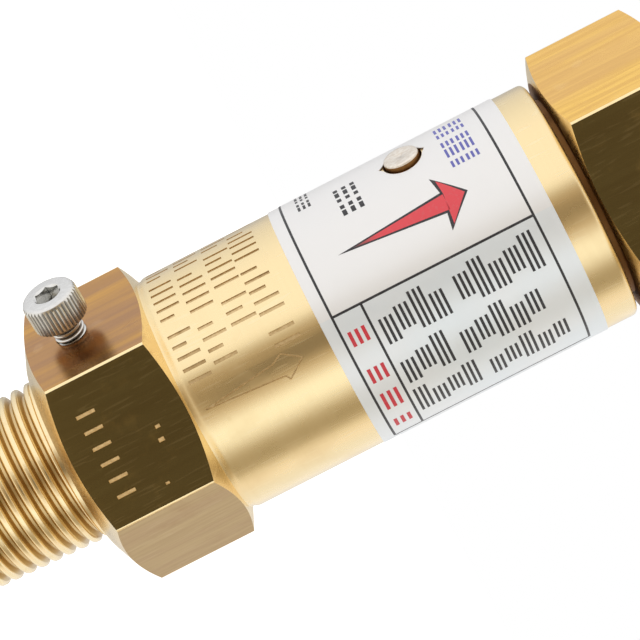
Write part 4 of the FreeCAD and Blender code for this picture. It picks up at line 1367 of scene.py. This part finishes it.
@dataclass
class Label:
    """The film around the barrel and what is printed on it."""

    inner: float = 15.77
    thickness: float = 0.12
    start: float = -200.0
    end: float = 140.0
    low: float = field(default_factory=lambda: span_mm("label_wrap", 2)[0])
    high: float = field(default_factory=lambda: span_mm("label_wrap", 2)[1])
    pin_bearing: float = -4.3
    pin_height: float = field(default_factory=lambda: sum(span_mm("adjuster_lock_pin", 2)) / 2)
    line: float = 0.3
    hole_radius: float = 2.6
    hole_turn: float = 0.8
    hole_point: float = 0.55
    hole_point_width: float = 0.9
    crease_from: float = 1.9
    crease_width: float = 0.42
    crease_fade: float = 1.3
    second_crease_width: float = 0.3
    second_crease_fade: float = 1.0
    swell_from: float = 2.4
    swell_fade: float = 1.1
    ink_gap: float = 0.006
    ink_layer: float = 0.012
    ink_thickness: float = 0.01
    ink_step: float = 2.0

    def lift(self, bearing: float, height: float) -> float:
        """How far the film stands off the barrel at a place, from the creases beside the pin.

        Args:
            bearing: The place's bearing, in degrees.
            height: Its height.

        Returns:
            The film's extra height over its bed, in millimetres.
        """
        across = math.radians(bearing - self.pin_bearing) * self.inner
        along = height - self.pin_height
        side = max(0.0, abs(along) - self.crease_from)
        fold = math.exp(-(across / self.crease_width) ** 2) * math.exp(-side / self.crease_fade)
        fold *= 0.5 + 0.5 * min(1, side)
        leaning = (across - 0.35 * along) / self.second_crease_width
        second = math.exp(-leaning ** 2) * math.exp(-side / self.second_crease_fade)
        near = max(0.0, math.hypot(across, along) - self.swell_from)
        swell = math.exp(-near / self.swell_fade)
        above, beside = along > self.crease_from, abs(along) > self.crease_from
        return 0.1 * fold * beside + 0.05 * second * above + 0.05 * swell

    def wrap(self, obj: bpy.types.Object, bed: float) -> None:
        """Bends a flat drawing round the barrel: X is its bearing in degrees, Y its height.

        Args:
            obj: The drawing.
            bed: The radius that its Z = 0 goes to.
        """
        for vertex in obj.data.vertices:
            bearing, height, raised = vertex.co
            out = bed + raised + self.lift(bearing, height)
            angle = math.radians(bearing)
            vertex.co = (out * math.cos(angle), out * math.sin(angle), height)

    def thicken(self, obj: bpy.types.Object, thickness: float) -> None:
        """Turns a wrapped sheet into a closed one, outwards, with its normals out."""
        edit(obj)
        bpy.ops.mesh.select_all(action="SELECT")
        bpy.ops.mesh.normals_make_consistent(inside=False)
        leave_edit()
        face = obj.data.polygons[len(obj.data.polygons) // 2]
        outward = 1 if face.normal.xy.dot(face.center.xy) > 0 else -1
        bpy.ops.object.modifier_add(type="SOLIDIFY")
        solid = obj.modifiers[-1]
        solid.thickness = thickness
        solid.offset = outward
        bpy.ops.object.modifier_apply(modifier=solid.name)
        edit(obj)
        bpy.ops.mesh.select_all(action="SELECT")
        bpy.ops.mesh.normals_make_consistent(inside=False)
        leave_edit()

    def film(self) -> None:
        """Builds the film, with its hole for the pin."""
        bpy.ops.object.select_all(action="DESELECT")
        bpy.ops.mesh.primitive_grid_add(x_subdivisions=510, y_subdivisions=92, size=1)
        film = bpy.context.object
        film.name = "label_film_shell"
        film.data.transform(
            Matrix.Translation(((self.start + self.end) / 2, (self.low + self.high) / 2, 0))
            @ Matrix.Diagonal((self.end - self.start, self.high - self.low, 1, 1))
        )
        self.wrap(film, self.inner)
        self.thicken(film, self.thickness)
        hole = rod("label_hole", self.hole_radius, 10, 20, self.pin_height,
                   self.pin_bearing + self.hole_turn, steps=64)
        for vertex in hole.data.vertices:
            across = vertex.co.xy.dot(Vector((-math.sin(math.radians(self.pin_bearing)),
                                              math.cos(math.radians(self.pin_bearing)))))
            pull = max(0.0, 1 - abs(across) / self.hole_point_width)
            vertex.co.z += math.copysign(self.hole_point * pull * pull, vertex.co.z - self.pin_height)
        combine(film, hole, "DIFFERENCE")
        finish_piece(film, "valve", ["label_wrap"], smooth_degrees=40)
        dress(film, [finish_material(LABEL_FILM)])

    def print_shapes(self, name: str, shapes: Sequence[Sequence[Point]], ink: Ink,
                     layer: int) -> None:
        """Prints flat shapes on the film.

        Args:
            name: The new piece's name.
            shapes: Each shape's corners in order, as (bearing in degrees, height).
            ink: The ink.
            layer: 0 for ink on the film, 1 for ink on other ink.
        """
        bpy.ops.object.select_all(action="DESELECT")
        bpy.ops.mesh.primitive_plane_add(size=1)
        sheet = bpy.context.object
        sheet.name = name
        edit(sheet)
        bpy.ops.mesh.select_all(action="SELECT")
        bpy.ops.mesh.delete(type="VERT")
        for shape in shapes:
            draw_outline([Vector((x, y, 0)) for x, y in shape])
            bpy.ops.mesh.edge_face_add()
        bearings = [x for shape in shapes for x, _ in shape]
        cut = math.floor(min(bearings)) + 0.5
        while cut < max(bearings):
            bpy.ops.mesh.select_all(action="SELECT")
            bpy.ops.mesh.bisect(plane_co=(cut, 0, 0), plane_no=(1, 0, 0))
            cut += self.ink_step
        leave_edit()
        bed = self.inner + self.thickness + self.ink_gap + self.ink_layer * layer
        self.wrap(sheet, bed)
        self.thicken(sheet, self.ink_thickness)
        finish_piece(sheet, "valve", smooth_degrees=40)
        dress(sheet, [finish_material(ink)])

    def build(self) -> None:
        """Builds the film and prints it."""
        self.film()
        half = self.line / 2
        arc = math.degrees(half / self.inner)
        left, right, inner_left = self.low + 1.64, self.high - 2.5, self.low + 5.4
        top, middle, bottom = -66.0, 53.9, 132.7
        lines = [
            box_shape(top, bottom, left - half, left + half),
            box_shape(top, bottom, right - half, right + half),
            box_shape(middle - arc, middle + arc, left, right),
            box_shape(bottom - arc, bottom + arc, left, right),
            box_shape(middle, bottom, inner_left - half, inner_left + half),
        ]
        rows = [
            (58.4, 75.6, 59.6, (4, 5), 2.2), (80.0, 97.4, 59.6, (3, 5), 2.2),
            (101.6, 119.0, 59.4, (4, 5), 2.15),
        ]
        blocks = []
        for near, far, start, groups, cell in rows:
            height = start
            for marks in groups:
                for _ in range(marks):
                    kind = (len(blocks) * 5 // 3) % 3
                    blocks += bar_mark(near, far, height, height + cell * 0.78, kind)
                    height += cell
                height += cell * 0.55
        small = []
        for near, far, low, high in ((-28, -3.5, 56.9, 58.6), (-8, 14.5, 61.6, 64.4)):
            for k in range(5):
                step = (far - near) / 5
                small += bar_mark(near + k * step, near + (k + 0.78) * step, low, high, k % 3)
        blue = []
        for column in (75.7, 77.7):
            for k in range(5):
                blue += bar_mark(-18 + 7.6 * k, -12 + 7.6 * k, column, column + 1.6, (k + 1) % 3)
        red = []
        for k in range(4):
            red += bar_mark(60.6 + 17.3 * k, 71.4 + 17.3 * k, 55.7, 57.9, (k + 2) % 3)
        self.print_shapes("label_print_black", lines + blocks + small, BLACK_INK, 0)
        self.print_shapes("label_print_blue", blue, BLUE_INK, 0)
        self.print_shapes("label_print_red", red, RED_INK, 0)
        self.print_shapes("arrow_outline", [
            [(30.6, 58.9), (26.1, 73.0), (36.3, 73.0)],
            [(16.9, 72.5), (31.0, 75.95), (44.2, 72.2), (35.8, 72.6), (26.2, 72.9)],
        ], BLACK_INK, 0)
        self.print_shapes("arrow_fill", [
            [(30.7, 60.8), (27.3, 73.1), (35.2, 73.1)],
            [(19.6, 73.05), (31.0, 75.55), (41.8, 72.75), (35.2, 72.95), (27.2, 73.2)],
        ], ARROW_INK, 1)


def box_shape(near: float, far: float, low: float, high: float) -> list[Point]:
    """A box on the label, from one bearing to another and one height to another."""
    return [(near, low), (far, low), (far, high), (near, high)]


def bar_mark(near: float, far: float, low: float, high: float, kind: int) -> list[list[Point]]:
    """Three parallel bars that stand for one printed sign, without being one.

    Args:
        near: The bearing of its top.
        far: The bearing of its foot.
        low: The height of its left side.
        high: The height of its right side.
        kind: 0 for bars short of the top, 1 for full bars, 2 for bars short of both ends.

    Returns:
        The bars as shapes on the label.
    """
    tall, wide = (far - near) / 100, (high - low) / 100
    bars = {
        0: [(30, 100, 0, 20), (30, 100, 40, 60), (30, 100, 80, 100)],
        1: [(0, 100, 0, 20), (0, 100, 40, 60), (0, 100, 80, 100)],
        2: [(18, 82, 0, 20), (18, 82, 40, 60), (18, 82, 80, 100)],
    }[kind]
    return [
        box_shape(near + a * tall, near + b * tall, low + c * wide, low + d * wide) for a, b, c, d in bars
    ]


_materials: dict[str, bpy.types.Material] = {}


def finish_material(finish: Metal | Ink | Film | Rubber) -> bpy.types.Material:
    """The material of a finish, which is built once."""
    if finish.name not in _materials:
        _materials[finish.name] = finish.build()
    return _materials[finish.name]


@dataclass
class Internals:
    """The CAD nodes inside the valve, which keep their shapes and get their finishes here."""

    finishes: dict[str, Metal | Rubber] = field(default_factory=lambda: {
        "seat_nozzle": STAINLESS,
        "nozzle_gasket": ALUMINIUM,
        "blowdown_ring": BRONZE,
        "lock_pad": ALUMINIUM,
        "disc_holder": INNER_BRASS,
        "seat_disc": SEAT_RUBBER,
        "disc_clamp_washer": STAINLESS,
        "disc_clamp_screw": STAINLESS,
        "thrust_ball": STAINLESS,
        "spindle": STAINLESS,
        "lower_spring_seat": INNER_BRASS,
        "main_spring": SPRING_STEEL,
        "upper_spring_seat": STAINLESS,
        "adjusting_screw": INNER_BRASS,
        "spindle_guide_bush": BRONZE,
        "outlet_o_ring": SEAL_RUBBER,
    })

    def build(self) -> None:
        """Dresses each node."""
        for name, finish in self.finishes.items():
            node = frame["nodes"][name]
            node.data.materials.clear()
            node.data.materials.append(finish_material(finish))
            log.info("%s: %s", name, finish.name)


# ---------------------------------------------------------------- studio


@dataclass
class Studio:
    """Camera, tent and floor."""

    face: float = 56.7
    tilt: float = 2.13
    roll: float = 27.07
    target: float = 53.0
    offset: float = 1.2
    distance: float = 322.0
    lens: float = 146.9
    floor_size: float = 3000.0

    def camera(self) -> None:
        """Adds the camera."""
        face, tilt, roll = (math.radians(a) for a in (self.face, self.tilt, self.roll))
        toward = Vector((math.cos(face), math.sin(face), 0))
        across = Vector((math.sin(face), -math.cos(face), 0))
        up = Vector((0, 0, 1))
        back = math.cos(tilt) * toward + math.sin(tilt) * up
        axis = -math.sin(tilt) * toward + math.cos(tilt) * up
        image_right = math.cos(roll) * axis - math.sin(roll) * across
        image_up = math.sin(roll) * axis + math.cos(roll) * across
        centre = up * self.target + across * self.offset
        place = (centre + back * self.distance) * MILLIMETRE
        data = bpy.data.cameras.new("camera")
        data.lens = self.lens
        data.sensor_width = 36.0
        data.clip_start = 0.01
        camera = bpy.data.objects.new("camera", data)
        bpy.context.scene.collection.objects.link(camera)
        turn = Matrix((image_right, image_up, back)).transposed().to_4x4()
        camera.matrix_world = Matrix.Translation(place) @ turn
        bpy.context.scene.camera = camera

    def tent(self) -> None:
        """Wraps the valve in a pale tent with a few dark strips, seen white by the camera."""
        world = bpy.data.worlds.new("studio")
        bpy.context.scene.world = world
        world.use_nodes = True
        wiring = Wiring(world.node_tree)
        direction = wiring.add("TexCoord").outputs["Generated"]
        split = wiring.add("SeparateXYZ", {0: direction})
        bearing = wiring.math("ARCTAN2", split.outputs[1], split.outputs[0])
        turned = wiring.math("SUBTRACT", bearing, math.radians(self.face) - math.pi)
        share = wiring.math("FRACT", wiring.math("DIVIDE", wiring.math("ADD", turned, TURN), TURN))
        stops = [
            (-180, (0.65, 0.65, 0.65)), (-160, (0.55, 0.55, 0.56)), (-140, (0.85, 0.85, 0.87)),
            (-120, (0.98, 0.98, 1.00)), (-100, (1.10, 1.10, 1.12)), (-80, (1.20, 1.18, 1.18)),
            (-30, (1.22, 1.20, 1.20)), (-21, (1.18, 1.15, 1.11)), (-15, (0.68, 0.62, 0.53)),
            (-9, (0.52, 0.40, 0.26)), (10, (0.48, 0.37, 0.23)),
            (21, (0.60, 0.48, 0.33)), (30, (0.92, 0.84, 0.74)), (38, (1.28, 1.30, 1.30)),
            (51, (1.26, 1.28, 1.28)), (60, (0.94, 0.90, 0.84)), (69, (0.56, 0.48, 0.36)),
            (80, (0.42, 0.35, 0.24)), (91, (0.54, 0.46, 0.34)), (99, (0.98, 0.90, 0.78)),
            (110, (1.12, 1.04, 0.98)), (125, (1.04, 1.04, 1.04)), (150, (1.06, 1.06, 1.08)),
            (180, (0.72, 0.72, 0.74)),
        ]
        around = wiring.ramp(share, [((b + 180) / 360, c) for b, c in stops], smooth=False)
        steep = wiring.fade(wiring.math("ABSOLUTE", split.outputs[2]), 0.55, 0.9)
        light = wiring.mix(steep, around, (1.12, 1.08, 1.02))
        face = math.radians(self.face + 6)
        toward = (math.cos(face), math.sin(face), math.sin(math.radians(-0.5)))
        ahead = wiring.vector_math("DOT_PRODUCT", direction, toward).outputs["Value"]
        operator = wiring.fade(ahead, math.cos(math.radians(14)), math.cos(math.radians(9)))
        light = wiring.mix(operator, light, (0.155, 0.13, 0.095))
        seen = wiring.add("LightPath").outputs["Is Camera Ray"]
        studio = wiring.add("Background", {"Color": light, "Strength": 1.0})
        white = wiring.add("Background", {"Color": (1, 1, 1, 1), "Strength": 1.0})
        choice = wiring.add("MixShader", {0: seen, 1: studio.outputs[0], 2: white.outputs[0]})
        output = wiring.add("OutputWorld")
        world.node_tree.links.new(choice.outputs[0], output.inputs["Surface"])

    def floor(self) -> None:
        """Lays a pale floor under the valve, which takes its shadow. Metal mirrors the tent instead."""
        bpy.ops.object.select_all(action="DESELECT")
        bpy.ops.mesh.primitive_plane_add(size=self.floor_size * MILLIMETRE)
        floor = bpy.context.object
        floor.name = "floor"
        floor.location.z = CAD_BOX[0][2]
        material = bpy.data.materials.new("floor")
        material.use_nodes = True
        wiring = Wiring(material.node_tree)
        diffuse = wiring.add("BsdfDiffuse", {"Color": (0.86, 0.86, 0.86, 1)})
        path = wiring.add("LightPath")
        seen = wiring.math("MULTIPLY", path.outputs["Is Camera Ray"], 0.5)
        glow = wiring.add("Emission", {"Color": (1, 1, 1, 1), "Strength": seen})
        both = wiring.add("AddShader", {0: diffuse.outputs[0], 1: glow.outputs[0]})
        output = wiring.add("OutputMaterial")
        material.node_tree.links.new(both.outputs[0], output.inputs["Surface"])
        floor.data.materials.append(material)
        floor.visible_glossy = False

    def build(self) -> None:
        """Sets the studio up."""
        self.camera()
        self.tent()
        self.floor()
        bpy.context.scene.view_settings.view_transform = "Standard"


def main() -> None:
    """Builds the whole scene, sub-assembly by sub-assembly."""
    for group in (build_turning_marks, build_drawn_streaks, build_tarnish, build_scratches):
        group()
    assemblies = (ValveBody(), OutletConnector(), LockScrew(), LockPin(), Label(), Internals(), Studio())
    for assembly in assemblies:
        assembly.build()
        log.info("%s is built", type(assembly).__name__)


if __name__ == "__main__":
    main()
